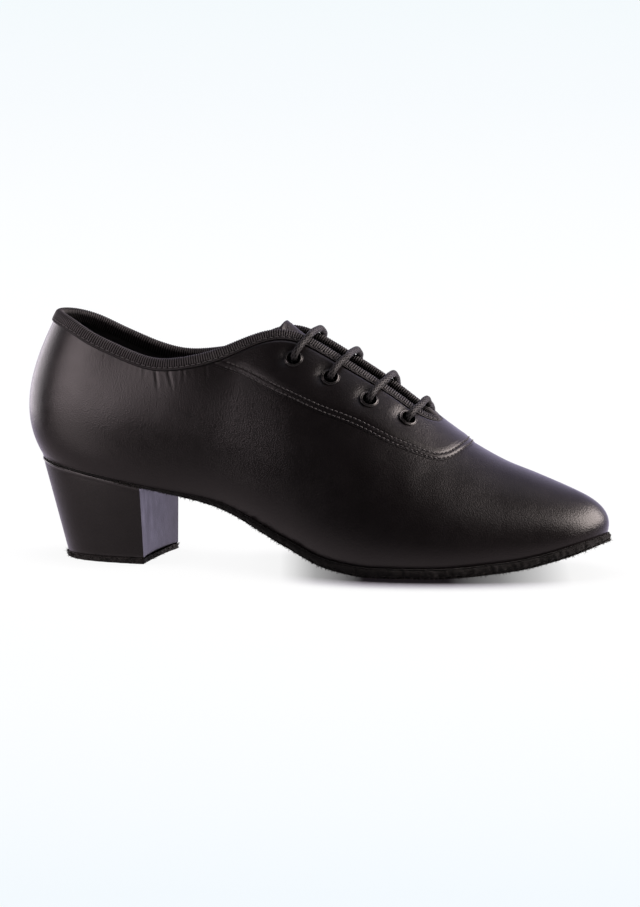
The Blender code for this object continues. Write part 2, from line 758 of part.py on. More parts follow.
def main():
    clear_scene()
    parts, cutters = collections()
    materials = {name: make_material(name) for name in COLOURS}
    root = bpy.data.objects.new("shoe", None)
    root.location = (-CENTRE[0], -CENTRE[1], 0.0)
    parts.objects.link(root)
    half = half_columns()

    upper = add_piece("upper", upper_mesh(half), materials["calf"], parts, root)
    thicken(upper, WALL, -1)
    cut_holes(upper, cutters)
    facing = add_piece("facing", facing_mesh(half), materials["calf"], parts, root)
    thicken(facing, FACING, 1)
    cut_holes(facing, cutters)
    binding = add_piece("binding", binding_mesh(half), materials["grosgrain"], parts, root)
    thicken(binding, TAPE, 1)
    add_piece("outsole", outsole_mesh(half), materials["suede"], parts, root)
    add_piece("insole", insole_mesh(half), materials["footbed"], parts, root)
    tongue = add_piece("tongue", tongue_mesh(), materials["calf"], parts, root)
    thicken(tongue, TONGUE, -1)
    add_piece("heel", heel_mesh(), materials["calf"], parts, root)
    add_piece("heel_lift", lift_mesh(), materials["suede"], parts, root)

    profile = eyelet_profile()
    for name, way, height in eyelet_places():
        matrix = eyelet_matrix(way, height)
        eyelet_cutter(f"hole_{name}", matrix, cutters, root)
        eyelet = add_piece(f"eyelet_{name}", profile, materials["metal"], parts, root)
        eyelet.matrix_local = matrix
        turn_profile(eyelet)
    for index in range(len(EYELETS["way"])):
        lace_bar(index, materials["cord"], parts, root)


main()
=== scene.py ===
"""Looks of the ballroom dance shoe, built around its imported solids.

Every skin is worked out from the same surface as the solids, with the creases, ribs, stitches, braid and
nap that the solids leave out. It has their sizes, apart from the tongue's tip, the sole's toe end, the dips
beside the eyelets and the lace's thickness. Lengths are in metres. Points are worked out from the back of
the heel seat and then moved by CENTRE into the row's frame.
"""

import math

import bmesh
import bpy
import numpy as np
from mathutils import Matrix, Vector


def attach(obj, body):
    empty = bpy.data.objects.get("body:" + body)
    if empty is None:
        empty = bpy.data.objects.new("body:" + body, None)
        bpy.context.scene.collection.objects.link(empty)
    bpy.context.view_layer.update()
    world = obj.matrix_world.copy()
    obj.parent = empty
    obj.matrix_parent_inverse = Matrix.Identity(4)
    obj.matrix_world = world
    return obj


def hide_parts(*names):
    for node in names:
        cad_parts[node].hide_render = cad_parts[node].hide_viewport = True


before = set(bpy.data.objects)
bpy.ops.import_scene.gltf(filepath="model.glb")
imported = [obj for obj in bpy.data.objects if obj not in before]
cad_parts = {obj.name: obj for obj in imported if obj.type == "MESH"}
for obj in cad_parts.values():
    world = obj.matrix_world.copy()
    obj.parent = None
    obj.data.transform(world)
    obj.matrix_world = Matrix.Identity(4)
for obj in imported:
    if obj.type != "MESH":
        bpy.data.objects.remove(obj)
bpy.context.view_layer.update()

# Sizes shared with the solids
CENTRE = np.array((0.1301, 0.0004, 0.0))
GAP = 0.0003
WALL = 0.0018
FACING = 0.0007
FACING_LIFT = 0.0004
TAPE = 0.0006
TAPE_WIDTH = 0.0040
TONGUE = 0.0016
LIFT = 0.0026
LACE_RADIUS = 0.00185
EYELET_HOLE = 0.0029
EYELET_BARREL = 0.0033
EYELET_FLANGE = 0.0042
EYELET_LIP = 0.0005
NEAR_CREST = 0.985
SPINE = 0.90

SECTION_COLUMNS = ("x", "axis", "outer", "inner", "lean", "rise", "crest_x", "crest_half", "crown", "drop")
SECTIONS = {
    "heel_back": (0.0034, 0.000, 0.0000, 0.0000, 0.0190, 0.030, 0.0405, 0.008, 0.0190, 0.042),
    "heel_corner": (0.0098, 0.000, 0.0165, 0.0165, 0.0165, 0.030, 0.0440, 0.008, 0.0125, 0.042),
    "heel_side": (0.0330, 0.000, 0.0270, 0.0270, 0.0100, 0.031, 0.057, 0.008, 0.0040, 0.042),
    "seat_front": (0.0620, 0.000, 0.0280, 0.0280, 0.0085, 0.032, 0.080, 0.006, 0.0100, 0.036),
    "waist": (0.0960, -0.001, 0.0275, 0.0250, 0.0120, 0.028, 0.108, 0.000, 0.0170, 0.023),
    "instep": (0.1300, -0.001, 0.0335, 0.0305, 0.0130, 0.026, 0.134, 0.000, 0.0235, 0.007),
    "ball": (0.1680, 0.000, 0.0405, 0.0400, 0.0100, 0.022, 0.165, 0.000, 0.0255, 0.000),
    "toe_joint": (0.2040, 0.002, 0.0360, 0.0378, 0.0065, 0.017, 0.197, 0.000, 0.0245, 0.000),
    "toe_side": (0.2360, 0.005, 0.0258, 0.0268, 0.0042, 0.012, 0.228, 0.000, 0.0200, 0.000),
    "toe_corner": (0.2557, 0.006, 0.0140, 0.0142, 0.0030, 0.009, 0.242, 0.000, 0.0135, 0.000),
    "toe_tip": (0.2620, 0.006, 0.0000, 0.0000, 0.0025, 0.009, 0.246, 0.000, 0.0120, 0.000),
}
CREST = {
    "x": (0.040, 0.080, 0.108, 0.134, 0.165, 0.188, 0.197, 0.215, 0.228, 0.246),
    "z": (0.1500, 0.1395, 0.1225, 0.1040, 0.0827, 0.0652, 0.0591, 0.0492, 0.0443, 0.0373),
}
SOLE = {
    "x": (0.000, 0.058, 0.092, 0.126, 0.148, 0.168, 0.192, 0.226, 0.264),
    "bottom": (0.0452, 0.0346, 0.0280, 0.0126, 0.0039, 0.0014, 0.0014, 0.0042, 0.0142),
    "thick": (0.0012, 0.0016, 0.0027, 0.0036, 0.0040, 0.0042, 0.0042, 0.0044, 0.0044),
    "welt": (-0.0002, 0.0000, 0.0008, 0.0014, 0.0017, 0.0019, 0.0020, 0.0018, 0.0009),
    "bulge": (0.0000, 0.0000, 0.0003, 0.0010, 0.0020, 0.0024, 0.0024, 0.0014, 0.0006),
}
TOP_LINE = {
    "way": (0.0, 0.055, 0.10, 0.135, 0.175, 0.22, 0.27, 0.32, 0.36, 0.40, 0.44, 0.49, 0.58, 0.655),
    "height": (
        (0.630, 0.623, 0.588, 0.566, 0.544, 0.531, 0.564)
        + (0.636, 0.718, 0.791, 0.843, 0.875, 0.886, 0.908)
    ),
    "end": 0.706,
}
SEAM_LINE = {
    "way": (0.322, 0.366, 0.436, 0.499, 0.554, 0.603, 0.648, 0.683),
    "height": (0.574, 0.576, 0.568, 0.573, 0.585, 0.596, 0.601, 0.622),
    "end": 0.7675,
}
FACING_START = 0.318
EYELETS = {
    "way": (0.467, 0.540, 0.606, 0.664),
    "height": (0.733, 0.743, 0.743, 0.783),
}
EYELET_SKEW = 0.014
EYELET_SIDES = (("lateral", 1, 0.0), ("medial", -1, EYELET_SKEW))
# The tongue's table is the solid's, with a wider and flatter tip
TONGUE_SHEET = {
    "x": (0.1168, 0.1185, 0.122, 0.128, 0.136, 0.150, 0.165, 0.176, 0.186, 0.195, 0.206),
    "z": (0.1086, 0.1074, 0.1047, 0.1004, 0.0953, 0.0869, 0.0771, 0.0695, 0.0614, 0.0555, 0.0510),
    "half": (0.0078, 0.0115, 0.0150, 0.0182, 0.0195, 0.0195, 0.0185, 0.0172, 0.0160, 0.0150, 0.0140),
    "bend": (80, 100, 98, 66, 45, 33, 28, 28, 30, 30, 30),
}
# More sizes shared with the solids
HEEL = {
    "breast_top": 0.0572,
    "breast_low": 0.0580,
    "back_low": 0.0153,
    "width_low": 0.0500,
    "hollow": 0.0010,
}
BAR_SHARES = (0.00, 0.00, 0.06, 0.20, 0.45, 0.75, 1.00)
BAR_SLANT = {"outer": 0.012, "inner": 0.004}

# Creases of the leather, each a soft trough with low ridges beside it: ends as way and height on the
# outer side, then width and depth
CREASES = {
    "pucker_a": (0.219, 0.512, 0.240, 0.410, 0.00045, 0.00026),
    "pucker_b": (0.240, 0.515, 0.264, 0.427, 0.00045, 0.00024),
    "pucker_c": (0.200, 0.510, 0.210, 0.452, 0.00040, 0.00010),
    "pucker_d": (0.122, 0.555, 0.138, 0.497, 0.00040, 0.00007),
    "pucker_e": (0.096, 0.575, 0.101, 0.530, 0.00040, 0.00006),
    "pucker_f": (0.143, 0.545, 0.153, 0.490, 0.00040, 0.00007),
    "pucker_g": (0.267, 0.530, 0.278, 0.470, 0.00040, 0.00011),
    "pucker_h": (0.273, 0.535, 0.291, 0.495, 0.00040, 0.00012),
    "pucker_i": (0.303, 0.570, 0.313, 0.505, 0.00045, 0.00010),
    "vamp_break": (0.640, 0.560, 0.668, 0.230, 0.0050, 0.00018),
    "vamp_break_low": (0.690, 0.520, 0.706, 0.260, 0.0042, 0.00012),
}
PUCKER_PITCH = 0.0125
PUCKER_SPAN = (0.022, 0.336)
# Painted contact shadow on the floor: the span along the floor's X, and how deep the shade is painted along
# it
SHADOW_SPAN = (-0.03, 0.13)
SHADOW_DEPTHS = (
    ((0.0, 0.05), (0.09, 0.08), (0.13, 0.28), (0.19, 0.64), (0.32, 1.0))
    + ((0.55, 1.0), (0.69, 0.78), (0.80, 0.45), (0.89, 0.10), (1.0, 0.05))
)
TONGUE_CORNER = 0.0026
TIP_RISE = 0.0015
TIP_START = 0.248
TIP_LENGTH = 0.016
MOUND_DEPTHS = (0.0016, 0.0014, 0.0010, 0.0008)
MOUND_REACH = 0.0030
MOUND_SIZE = (0.0036, 0.0046)
RIB_PITCH = 0.00107
RIB_HEIGHT = 0.00013
LACE_LIFTS = {
    "outer": (-0.0010, 0.0012, 0.0022, 0.0028, 0.0030, 0.0031, 0.0032),
    "inner": (-0.0010, 0.0008, 0.0012, 0.0016, 0.0019, 0.0021, 0.0022),
}
LACE_ARCH = ((0.35, 0.0016), (0.70, 0.0022))
LACE_OFFSET = 0.008
TAPE_STITCH = 0.0027
TAPE_STITCH_PITCH = 0.0026
SEAM_STITCHES = (0.0010, 0.0032)
SEAM_STITCH_PITCH = 0.0022
CAMERA_AZIMUTH = math.radians(16.5)
SEED = 7

# Creases on the inner side, and the ranges of the small ones drawn along the collar
MIRROR_WAYS = (1.01, 0.995)
MIRROR_DEPTH = 0.8
PUCKER_LENGTH = (0.02, 0.055)
PUCKER_LEAN = (-0.004, 0.012)
PUCKER_DEPTH = (0.00002, 0.00007)
PUCKER_WIDTH = (0.0003, 0.0005)

# The eyestay's edge, its grooves as depth and width, and the tape that laps over it
FACING_GRID = (210, 44)
FLAP_EDGE = 0.0002
FLAP_SKIVE = 0.0010
FLAP_RISE = 0.0056
FLAP_POWER = 0.8
FLAP_LEAST = 0.0001
FLAP_DIVE = 0.0011
FLAP_TURN = 0.66
FLAP_BUNCH = 1.35
SEAM_GROOVE = (0.00020, 0.00045)
SEAM_THREAD = 0.00030
SEAM_THREAD_SHARE = 0.72
SEAM_THREAD_SINK = 0.00006
TAPE_OVERLAP = 0.0012
TAPE_FADE = 0.012
TAPE_SKIVE = 0.0004
TAPE_DRESS = 0.6
TAPE_GROOVE = (0.00030, 0.00032)
TAPE_THREAD = 0.00024
TAPE_THREAD_SINK = 0.00012
TAPE_ROWS = np.array((4.0, 3.9, 3.7, 3.4, 3.1, 2.9, 2.7, 2.5, 2.3, 1.8, 1.2, 0.6, 0.0)) / 1000

# The heel: bumps round it as depth, place and width, wrinkles as place, width, depth and lean
HEEL_COLUMNS = 56
BREAST_COLUMNS = 28
HEEL_LIP = (0.00030, 0.014, 0.011)
HEEL_GROOVE = (0.00012, 0.036, 0.008)
HEEL_TUCK = (0.00035, 0.975, 0.025)
BREAST_WRINKLES = (
    (0.10, 0.030, 0.00030, 0.05),
    (0.21, 0.022, 0.00022, -0.03),
    (0.33, 0.03, 0.00012, 0.04),
)
LIFT_GROW = 0.00012
LIFT_PINCH = 0.00035

# Fuzz of the suede's edges as height, size and seed, and its stray fibres
SOLE_FUZZ = ((0.00024, 0.0009, 3), (0.00020, 0.0004, 4))
LIFT_FUZZ = ((0.00012, 0.0010, 5), (0.00010, 0.0004, 6))
FIBRE_COUNTS = (5200, 1100)
FIBRE_LENGTH = (0.0003, 0.0010)
FIBRE_RADIUS = 0.00015

# The lace: share of the solid's radius that its yarns take, depths inside, hidden runs
LACE_SHARE = 0.84
LACE_DEPTHS = (0.0040, 0.0022)
LACE_RUNS = (("lateral", 3, 2), ("medial", 2, 0), ("medial", 3, 1), ("lateral", 1, 0))
RUN_RADIUS = 0.0014
YARNS = 7
YARN_TURN = 0.0052
YARN_SLANT = 2.2
YARN_RELIEF = 0.07
CORD_END = 0.0008
RUN_SAG = 0.02
RUN_DIP = 0.0006
RING_DROP = 0.6

# Where the normal eases over to the ridge's, the shape of a crease, and the sole's and tongue's edges
RIDGE_START = 0.93
RIDGE_REACH = 0.06
CREASE_BOW = 0.06
CREASE_RIDGE = 0.45
SOLE_HEEL_INSET = 0.0005
SOLE_CORNER = 0.0007
SOLE_ROUND = 0.26
SOLE_SAG = ((0.00026, 0.0007, 8),)
HEEL_WAVE = ((0.00006, 0.009, 11),)
TONGUE_FOLD = 0.00012
TONGUE_EDGE = 0.0004
TONGUE_INSET = 0.0024
TONGUE_STITCH_PITCH = 0.0023
TONGUE_THREAD = 0.00020

# Darkest and lightest colour of each material
NOISE = "ShaderNodeTexNoise"
GRAIN = 0.00062
DYES = {
    "calf_skin": ((0.0032, 0.0024, 0.0026), (0.0048, 0.0037, 0.0040)),
    "heel_skin": ((0.0036, 0.0029, 0.0030), (0.0054, 0.0044, 0.0045)),
    "tongue_skin": ((0.0065, 0.0056, 0.0058), (0.0105, 0.0090, 0.0094)),
    "lining_skin": ((0.006, 0.0055, 0.0056), (0.009, 0.0085, 0.0085)),
    "footbed_nap": ((0.010, 0.0095, 0.0095), (0.019, 0.018, 0.018)),
    "lift_nap": ((0.0022, 0.0019, 0.0019), (0.026, 0.023, 0.022)),
    "sole_suede": ((0.0016, 0.0013, 0.0013), (0.0052, 0.0042, 0.0042)),
    "suede_fibre": ((0.006, 0.0050, 0.0048), (0.020, 0.017, 0.016)),
    "grosgrain_weave": ((0.0075, 0.0062, 0.0070), (0.023, 0.0195, 0.0215)),
    "lace_yarn": ((0.006, 0.0053, 0.0058), (0.019, 0.0170, 0.0183)),
    "thread_yarn": ((0.015, 0.0135, 0.014), (0.040, 0.036, 0.0375)),
    "eyelet_enamel": ((0.010, 0.009, 0.009), (0.020, 0.018, 0.018)),
}

# Soft boxes: place, aim, size, brightness and colour
LIGHTS = {
    "heel_box": ((-0.226, -0.14, 0.160), (-0.226, 0.0, 0.150), (0.208, 0.14), 5.6, (1.0, 0.85, 0.88)),
    "heel_fill": ((-0.236, -0.14, 0.048), (-0.226, 0.0, 0.055), (0.18, 0.08), 2.0, (1.0, 0.86, 0.87)),
    "toe_box": ((1.05, 0.20, 0.57), (0.1, 0.0, 0.03), (1.1, 0.86), 14.4, (1.0, 0.88, 0.84)),
    "vamp_box": ((0.716, -0.370, 0.690), (0.02, 0.0, 0.07), (0.46, 0.24), 3.6, (1.0, 0.90, 0.88)),
    "top_box": ((0.0, 0.3, 2.2), (0.0, 0.0, 0.06), (1.8, 1.2), 0.8, (0.95, 0.90, 1.0)),
    "back_box": ((-1.3, 0.6, 0.25), (-0.1, 0.0, 0.06), (1.1, 0.8), 3.8, (1.0, 0.92, 0.95)),
}

# Colours of the floor from near to far, a painted pool of light that is whitest by the shoe, of its painted
# contact shadow, and of the room behind and below
SWEEP_SPAN = (-0.8, 6.0)
SWEEP = (
    (0.018, (0.880, 0.935, 0.975)),
    (0.040, (0.920, 0.955, 0.980)),
    (0.068, (0.955, 0.972, 0.980)),
    (0.110, (0.982, 0.982, 0.982)),
    (0.290, (0.982, 0.992, 0.995)),
    (0.410, (0.965, 0.984, 0.995)),
    (0.610, (0.932, 0.965, 0.990)),
    (0.970, (0.905, 0.955, 0.978)),
)
PAINTED_CONTACT_SHADOW = (
    (0.05, (0.010, 0.008, 0.010)),
    (0.48, (0.020, 0.018, 0.020)),
    (0.60, (0.100, 0.090, 0.105)),
    (0.74, (0.450, 0.420, 0.480)),
    (0.88, (1.0, 1.0, 1.0)),
)
ROOM_BEHIND = (
    (0.0, (0.03, 0.03, 0.03)),
    (0.50, (0.06, 0.06, 0.065)),
    (0.74, (0.42, 0.38, 0.52)),
    (1.0, (1.05, 0.96, 1.36)),
)
ROOM_BELOW = ((0.10, (0.90, 0.76, 0.78)), (0.30, (0.62, 0.51, 0.53)), (0.46, (0.0, 0.0, 0.0)))


def smooth(places, values, x, slope=False):
    """Monotone cubic through a table, or its slope."""
    places = np.asarray(places, float)
    values = np.asarray(values, float)
    x = np.clip(np.asarray(x, float), places[0], places[-1])
    step = np.diff(places)
    rise = np.diff(values) / step
    grade = np.concatenate([rise[:1], np.zeros(len(rise) - 1), rise[-1:]])
    same_way = rise[:-1] * rise[1:] > 0
    inner = np.zeros(len(rise) - 1)
    inner[same_way] = 2.0 / (1.0 / rise[:-1][same_way] + 1.0 / rise[1:][same_way])
    grade[1:-1] = inner
    i = np.clip(np.searchsorted(places, x) - 1, 0, len(step) - 1)
    h = step[i]
    s = (x - places[i]) / h
    low, high = values[i], values[i + 1]
    if slope:
        ends = (3 * s**2 - 4 * s + 1) * grade[i] + (3 * s**2 - 2 * s) * grade[i + 1]
        return (6 * s**2 - 6 * s) * (low - high) / h + ends
    value = (2 * s**3 - 3 * s**2 + 1) * low + (3 * s**2 - 2 * s**3) * high
    return value + h * ((s**3 - 2 * s**2 + s) * grade[i] + (s**3 - s**2) * grade[i + 1])


class RingSpline:
    """Cubic spline through values round a closed ring of knots."""

    def __init__(self, knots, values, period):
        self.period = period
        self.knots = np.append(knots, knots[0] + period)
        self.values = np.concatenate([values, values[:1]])
        self.steps = np.diff(self.knots)
        count = len(self.steps)
        system = np.zeros((count, count))
        right = np.zeros(values.shape)
        for i in range(count):
            before = (i - 1) % count
            after = (i + 1) % count
            system[i, before] += self.steps[before]
            system[i, i] += 2 * (self.steps[before] + self.steps[i])
            system[i, after] += self.steps[i]
            ahead = (values[after] - values[i]) / self.steps[i]
            behind = (values[i] - values[before]) / self.steps[before]
            right[i] = 6 * (ahead - behind)
        bends = np.linalg.solve(system, right)
        self.bends = np.concatenate([bends, bends[:1]])

    def __call__(self, u, slope=False):
        u = np.mod(np.asarray(u, float) - self.knots[0], self.period) + self.knots[0]
        i = np.clip(np.searchsorted(self.knots, u, side="right") - 1, 0, len(self.steps) - 1)
        h = self.steps[i][..., None]
        b = (u - self.knots[i])[..., None] / h
        a = 1 - b
        low, high = self.values[i], self.values[i + 1]
        bend_low, bend_high = self.bends[i], self.bends[i + 1]
        if slope:
            return (high - low) / h + ((1 - 3 * a**2) * bend_low + (3 * b**2 - 1) * bend_high) * h / 6
        return a * low + b * high + ((a**3 - a) * bend_low + (b**3 - b) * bend_high) * h**2 / 6


def ring_of_sections():
    """Splines of the feather line and of the other section sizes round the shoe, and a table of the rest."""
    table = np.array(list(SECTIONS.values()))
    size = {name: table[:, i] for i, name in enumerate(SECTION_COLUMNS)}
    mean_half = (size["outer"] + size["inner"]) / 2
    chords = np.hypot(np.diff(size["x"]), np.diff(mean_half))
    way = np.concatenate([[0.0], np.cumsum(chords)]) / chords.sum()
    knots = np.concatenate([way, 2 - way[-2:0:-1]])

    def both_sides(outer_side, inner_side):
        return np.concatenate([outer_side, inner_side[-2:0:-1]])

    outline = np.stack(
        [
            both_sides(size["x"], size["x"]),
            both_sides(size["axis"] - size["outer"], size["axis"] + size["inner"]),
        ],
        axis=1,
    )
    shared = ("axis", "lean", "rise", "crest_x", "crown")
    sizes = np.stack([both_sides(size[name], size[name]) for name in shared], axis=1)
    top = {"way": way, "crest_half": size["crest_half"], "drop": size["drop"]}
    return RingSpline(knots, outline, 2.0), RingSpline(knots, sizes, 2.0), top


OUTLINE, SIZES, TOP = ring_of_sections()


def sole_size(name, x):
    return smooth(SOLE["x"], SOLE[name], x)


def sole_top(x):
    return sole_size("bottom", x) + sole_size("thick", x)


def outward(u):
    """Unit direction in plan, square to the feather line."""
    along = OUTLINE(u, slope=True)
    along = along / np.linalg.norm(along, axis=-1, keepdims=True)
    return np.stack([along[..., 1], -along[..., 0]], axis=-1)


def surface(u, t):
    """Point of the shoe's outside: a cubic rib from the feather line up to the crest."""
    u, t = np.broadcast_arrays(np.asarray(u, float), np.asarray(t, float))
    foot = OUTLINE(u)
    out = outward(u)
    axis, lean, rise, crest_x, crown = np.moveaxis(SIZES(u), -1, 0)
    crest_half = smooth(TOP["way"], TOP["crest_half"], np.abs(u))
    drop = smooth(TOP["way"], TOP["drop"], np.abs(u))
    crest_z = smooth(CREST["x"], CREST["z"], crest_x)
    crest_slope = smooth(CREST["x"], CREST["z"], crest_x, slope=True)
    feather = np.stack([foot[..., 0], foot[..., 1], sole_top(foot[..., 0]) + GAP], axis=-1)
    wall = feather + np.stack([out[..., 0] * lean, out[..., 1] * lean, rise], axis=-1)
    crest_y = axis + out[..., 1] * crest_half
    crest = np.stack([crest_x + out[..., 0] * crest_half, crest_y, crest_z], axis=-1)
    fall = crest_slope * out[..., 0] * crown - drop
    shoulder = crest + np.stack([out[..., 0] * crown, out[..., 1] * crown, fall], axis=-1)
    t = t[..., None]
    s = 1 - t
    return s**3 * feather + 3 * s**2 * t * wall + 3 * s * t**2 * shoulder + t**3 * crest


def tangents(u, t):
    """The surface's directions along the way and up the rib."""
    step = 1e-4
    t = np.clip(t, step, 1 - step)
    along = (surface(u + step, t) - surface(u - step, t)) / (2 * step)
    up = (surface(u, t + step) - surface(u, t - step)) / (2 * step)
    return along, up


def unit(vectors):
    return vectors / np.linalg.norm(vectors, axis=-1, keepdims=True)


def bell(value, middle, width):
    return np.exp(-(((value - middle) / width) ** 2))


def path_lengths(points):
    """Distance along a path to each of its points."""
    return np.concatenate([[0.0], np.cumsum(np.linalg.norm(np.diff(points, axis=0), axis=1))])


def along_path(at, places, values):
    """Points or directions read off between the places where they are known."""
    return np.stack([np.interp(at, places, values[:, i]) for i in range(3)], axis=-1)


def circles(side, other, count):
    """Points of unit circles across pairs of directions."""
    angle = np.linspace(0, 2 * math.pi, count, endpoint=False)[:, None]
    return side[..., None, :] * np.cos(angle) + other[..., None, :] * np.sin(angle)


def normal(u, t):
    """Outward unit normal, easing at the crest into the one that both sides share there."""
    u, t = np.broadcast_arrays(np.asarray(u, float), np.asarray(t, float))
    along, up = tangents(u, np.minimum(t, NEAR_CREST))
    square = unit(np.cross(along, up))
    slope = smooth(CREST["x"], CREST["z"], SIZES(u)[..., 3], slope=True)
    ridge = unit(np.stack([-slope, np.zeros_like(slope), np.ones_like(slope)], axis=-1))
    share = np.clip((t - RIDGE_START) / 0.07, 0, 1) * (np.abs(u) > TOP_LINE["end"] - RIDGE_REACH)
    share = (share * share * (3 - 2 * share))[..., None]
    return unit(square * (1 - share) + ridge * share)


def line_height(line, u):
    """Height of a line on the surface, with its round end over the crest."""
    rows = np.array(line["way"])
    heights = np.array(line["height"])
    start, end = rows[0], line["end"]
    way = np.clip(np.abs(np.asarray(u, float)), start, end)
    there_and_back = np.concatenate([rows, 2 * end - rows[:0:-1]])
    values = np.concatenate([heights, heights[:0:-1]])
    ring = RingSpline(there_and_back, values[:, None], 2 * (end - start))
    share = np.maximum((way - rows[-1]) / (end - rows[-1]), 0)
    return 1 - (1 - ring(way)[..., 0]) * (1 - share**3)


def walk(u, t, direction, distance, steps=4):
    """Place reached on the surface after a distance in a direction."""
    u = np.array(u, float)
    t = np.array(t, float)
    stride = distance / steps
    for _ in range(steps):
        along, up = tangents(u, t)
        e = np.sum(along * along, axis=-1)
        f = np.sum(along * up, axis=-1)
        g = np.sum(up * up, axis=-1)
        p = np.sum(direction * along, axis=-1)
        q = np.sum(direction * up, axis=-1)
        det = e * g - f * f
        u = u + stride * (g * p - f * q) / det
        t = np.minimum(t + stride * (e * q - f * p) / det, 1.0)
    return u, t


def stretch(start, end, count, closes):
    """Ways after start up to end, closer together towards an end where a line closes over the crest."""
    share = np.arange(1, count + 1) / count
    if closes:
        share = np.sin(share * math.pi / 2)
    return start + (end - start) * share


def both_ways(half):
    """A closed ring of ways from the inner side over the heel's back to the outer side."""
    return np.concatenate([-half[:0:-1], half])


def top_line_ring():
    """Ways all round the top line, closer together at the throat's end."""
    last_row, end = TOP_LINE["way"][-1], TOP_LINE["end"]
    sides = stretch(0.0, last_row, 200, False)
    throat = stretch(last_row, end, 60, True)
    return both_ways(np.concatenate([[0.0], sides, throat]))[1:]


def top_line_frame(ways):
    """Heights of the top line at some ways, and the direction on the surface straight down from it."""
    ring = top_line_ring()
    heights = line_height(TOP_LINE, ring)
    points = surface(ring, heights)
    along = unit(np.roll(points, -1, axis=0) - np.roll(points, 1, axis=0))
    down = np.cross(along, normal(ring, heights))
    return line_height(TOP_LINE, ways), unit(along_path(ways, ring, down))


def tape_edge(width):
    """Ways and heights of a line that keeps a distance from the top line."""
    ring = top_line_ring()
    heights, down = top_line_frame(ring)
    return walk(ring, heights, down, width)


def eyelet_places():
    """Name, way and height of each eyelet, counted from the collar down."""
    places = []
    for side, sign, skew in EYELET_SIDES:
        for i, (way, height) in enumerate(zip(EYELETS["way"], EYELETS["height"])):
            places.append((f"{side}_{i + 1}", sign * (way + skew), height))
    return places


def crease_list():
    """End points, width and depth of every crease: those listed, and the small ones of the collar."""
    draw = np.random.default_rng(SEED)
    rows = []
    for row in CREASES.values():
        rows.append(row)
        way_a, height_a, way_b, height_b, width, depth = row
        way_a, way_b = -way_a * MIRROR_WAYS[0], -way_b * MIRROR_WAYS[1]
        rows.append((way_a, height_a, way_b, height_b, width, depth * MIRROR_DEPTH))
    edge_way, edge_height = tape_edge(TAPE_WIDTH)
    for sign in (1, -1):
        order = np.argsort(sign * edge_way)
        way = PUCKER_SPAN[0]
        while way < PUCKER_SPAN[1]:
            top = np.interp(way, (sign * edge_way)[order], edge_height[order]) + 0.01
            length = draw.uniform(*PUCKER_LENGTH)
            lean = draw.uniform(*PUCKER_LEAN)
            depth = draw.uniform(*PUCKER_DEPTH)
            width = draw.uniform(*PUCKER_WIDTH)
            rows.append((sign * way, top, sign * (way + lean), top - length, width, depth))
            way += PUCKER_PITCH * draw.uniform(0.6, 1.4)
    return rows


def crease_relief(points):
    """Height of the creases at some points of the surface."""
    flat = points.reshape(-1, 3)
    total = np.zeros(len(flat))
    for way_a, height_a, way_b, height_b, width, depth in crease_list():
        start = surface(way_a, height_a)
        end = surface(way_b, height_b)
        axis = end - start
        length = np.linalg.norm(axis)
        axis = axis / length
        near = np.linalg.norm(flat - (start + end) / 2, axis=1) < length / 2 + 6 * width
        if not near.any():
            continue
        offset = flat[near] - start
        along = offset @ axis
        bow = CREASE_BOW * length * np.sin(np.clip(along / length, 0, 1) * math.pi)
        across = np.linalg.norm(offset - along[:, None] * axis, axis=1) - bow * 0.2
        share = np.clip(along / length, -0.2, 1.2)
        fade = np.clip(1 - np.maximum(share - 0.45, 0) / 0.65, 0, 1) * np.clip((share + 0.15) / 0.2, 0, 1)
        fade = fade * fade * (3 - 2 * fade)
        ridge = CREASE_RIDGE * bell(np.abs(across), 2.1 * width, 1.1 * width)
        total[near] += depth * fade * (ridge - bell(across, 0.0, width))
    return total.reshape(points.shape[:-1])


def mound_relief(points):
    """The leather's soft dip on the heel's side of each eyelet."""
    total = np.zeros(points.shape[:-1])
    for i, (_, way, height) in enumerate(eyelet_places()):
        depth = MOUND_DEPTHS[i % len(MOUND_DEPTHS)]
        centre = surface(way, height)
        heelward = unit(tangents(way, height)[0]) * -np.sign(way)
        offset = points - (centre + heelward * MOUND_REACH)
        along = offset @ heelward
        across = np.linalg.norm(offset - along[..., None] * heelward, axis=-1)
        total -= depth * np.exp(-((along / MOUND_SIZE[0]) ** 2) - (across / MOUND_SIZE[1]) ** 2)
    return total


def body_relief(points):
    """Slow unevenness of leather over a last."""
    x, y, z = np.moveaxis(points, -1, 0)
    slow = np.sin(x * 61 + 1.3) * np.sin(z * 83 + y * 40 + 0.4) + 0.6 * np.sin(x * 137 - z * 96 + 2.1)
    return 0.00007 * slow


def leather_relief(points):
    return crease_relief(points) + mound_relief(points) + body_relief(points)


def noise_wave(points, scale, seed):
    """Cheap smooth noise between -1 and 1: a few waves in drawn directions."""
    draw = np.random.default_rng(seed)
    total = np.zeros(points.shape[:-1])
    count = 7
    for _ in range(count):
        direction = unit(draw.normal(size=3)) * draw.uniform(0.6, 1.6) / scale
        total += np.sin(points @ direction + draw.uniform(0, 2 * math.pi))
    return total / math.sqrt(count)


def grid_faces(columns, rows, ring=False, tube=False):
    """Quads of a grid whose points run row by row within each column."""
    i = np.arange(columns if ring else columns - 1)
    j = np.arange(rows if tube else rows - 1)
    i, j = np.meshgrid(i, j, indexing="ij")
    after_i = (i + 1) % columns
    after_j = (j + 1) % rows
    corners = (i * rows + j, after_i * rows + j, after_i * rows + after_j, i * rows + after_j)
    return np.stack(corners, axis=-1).reshape(-1, 4)


def tube_faces(count, rings, sides):
    """Faces of closed tubes of some rings and sides, one tube after the other."""
    each = rings * sides
    starts = np.arange(count) * each
    faces = (grid_faces(rings, sides, tube=True)[None] + starts[:, None, None]).reshape(-1, 4).tolist()
    for first in starts.tolist():
        faces.append(list(range(first, first + sides)))
        faces.append(list(range(first + each - 1, first + each - sides - 1, -1)))
    return faces


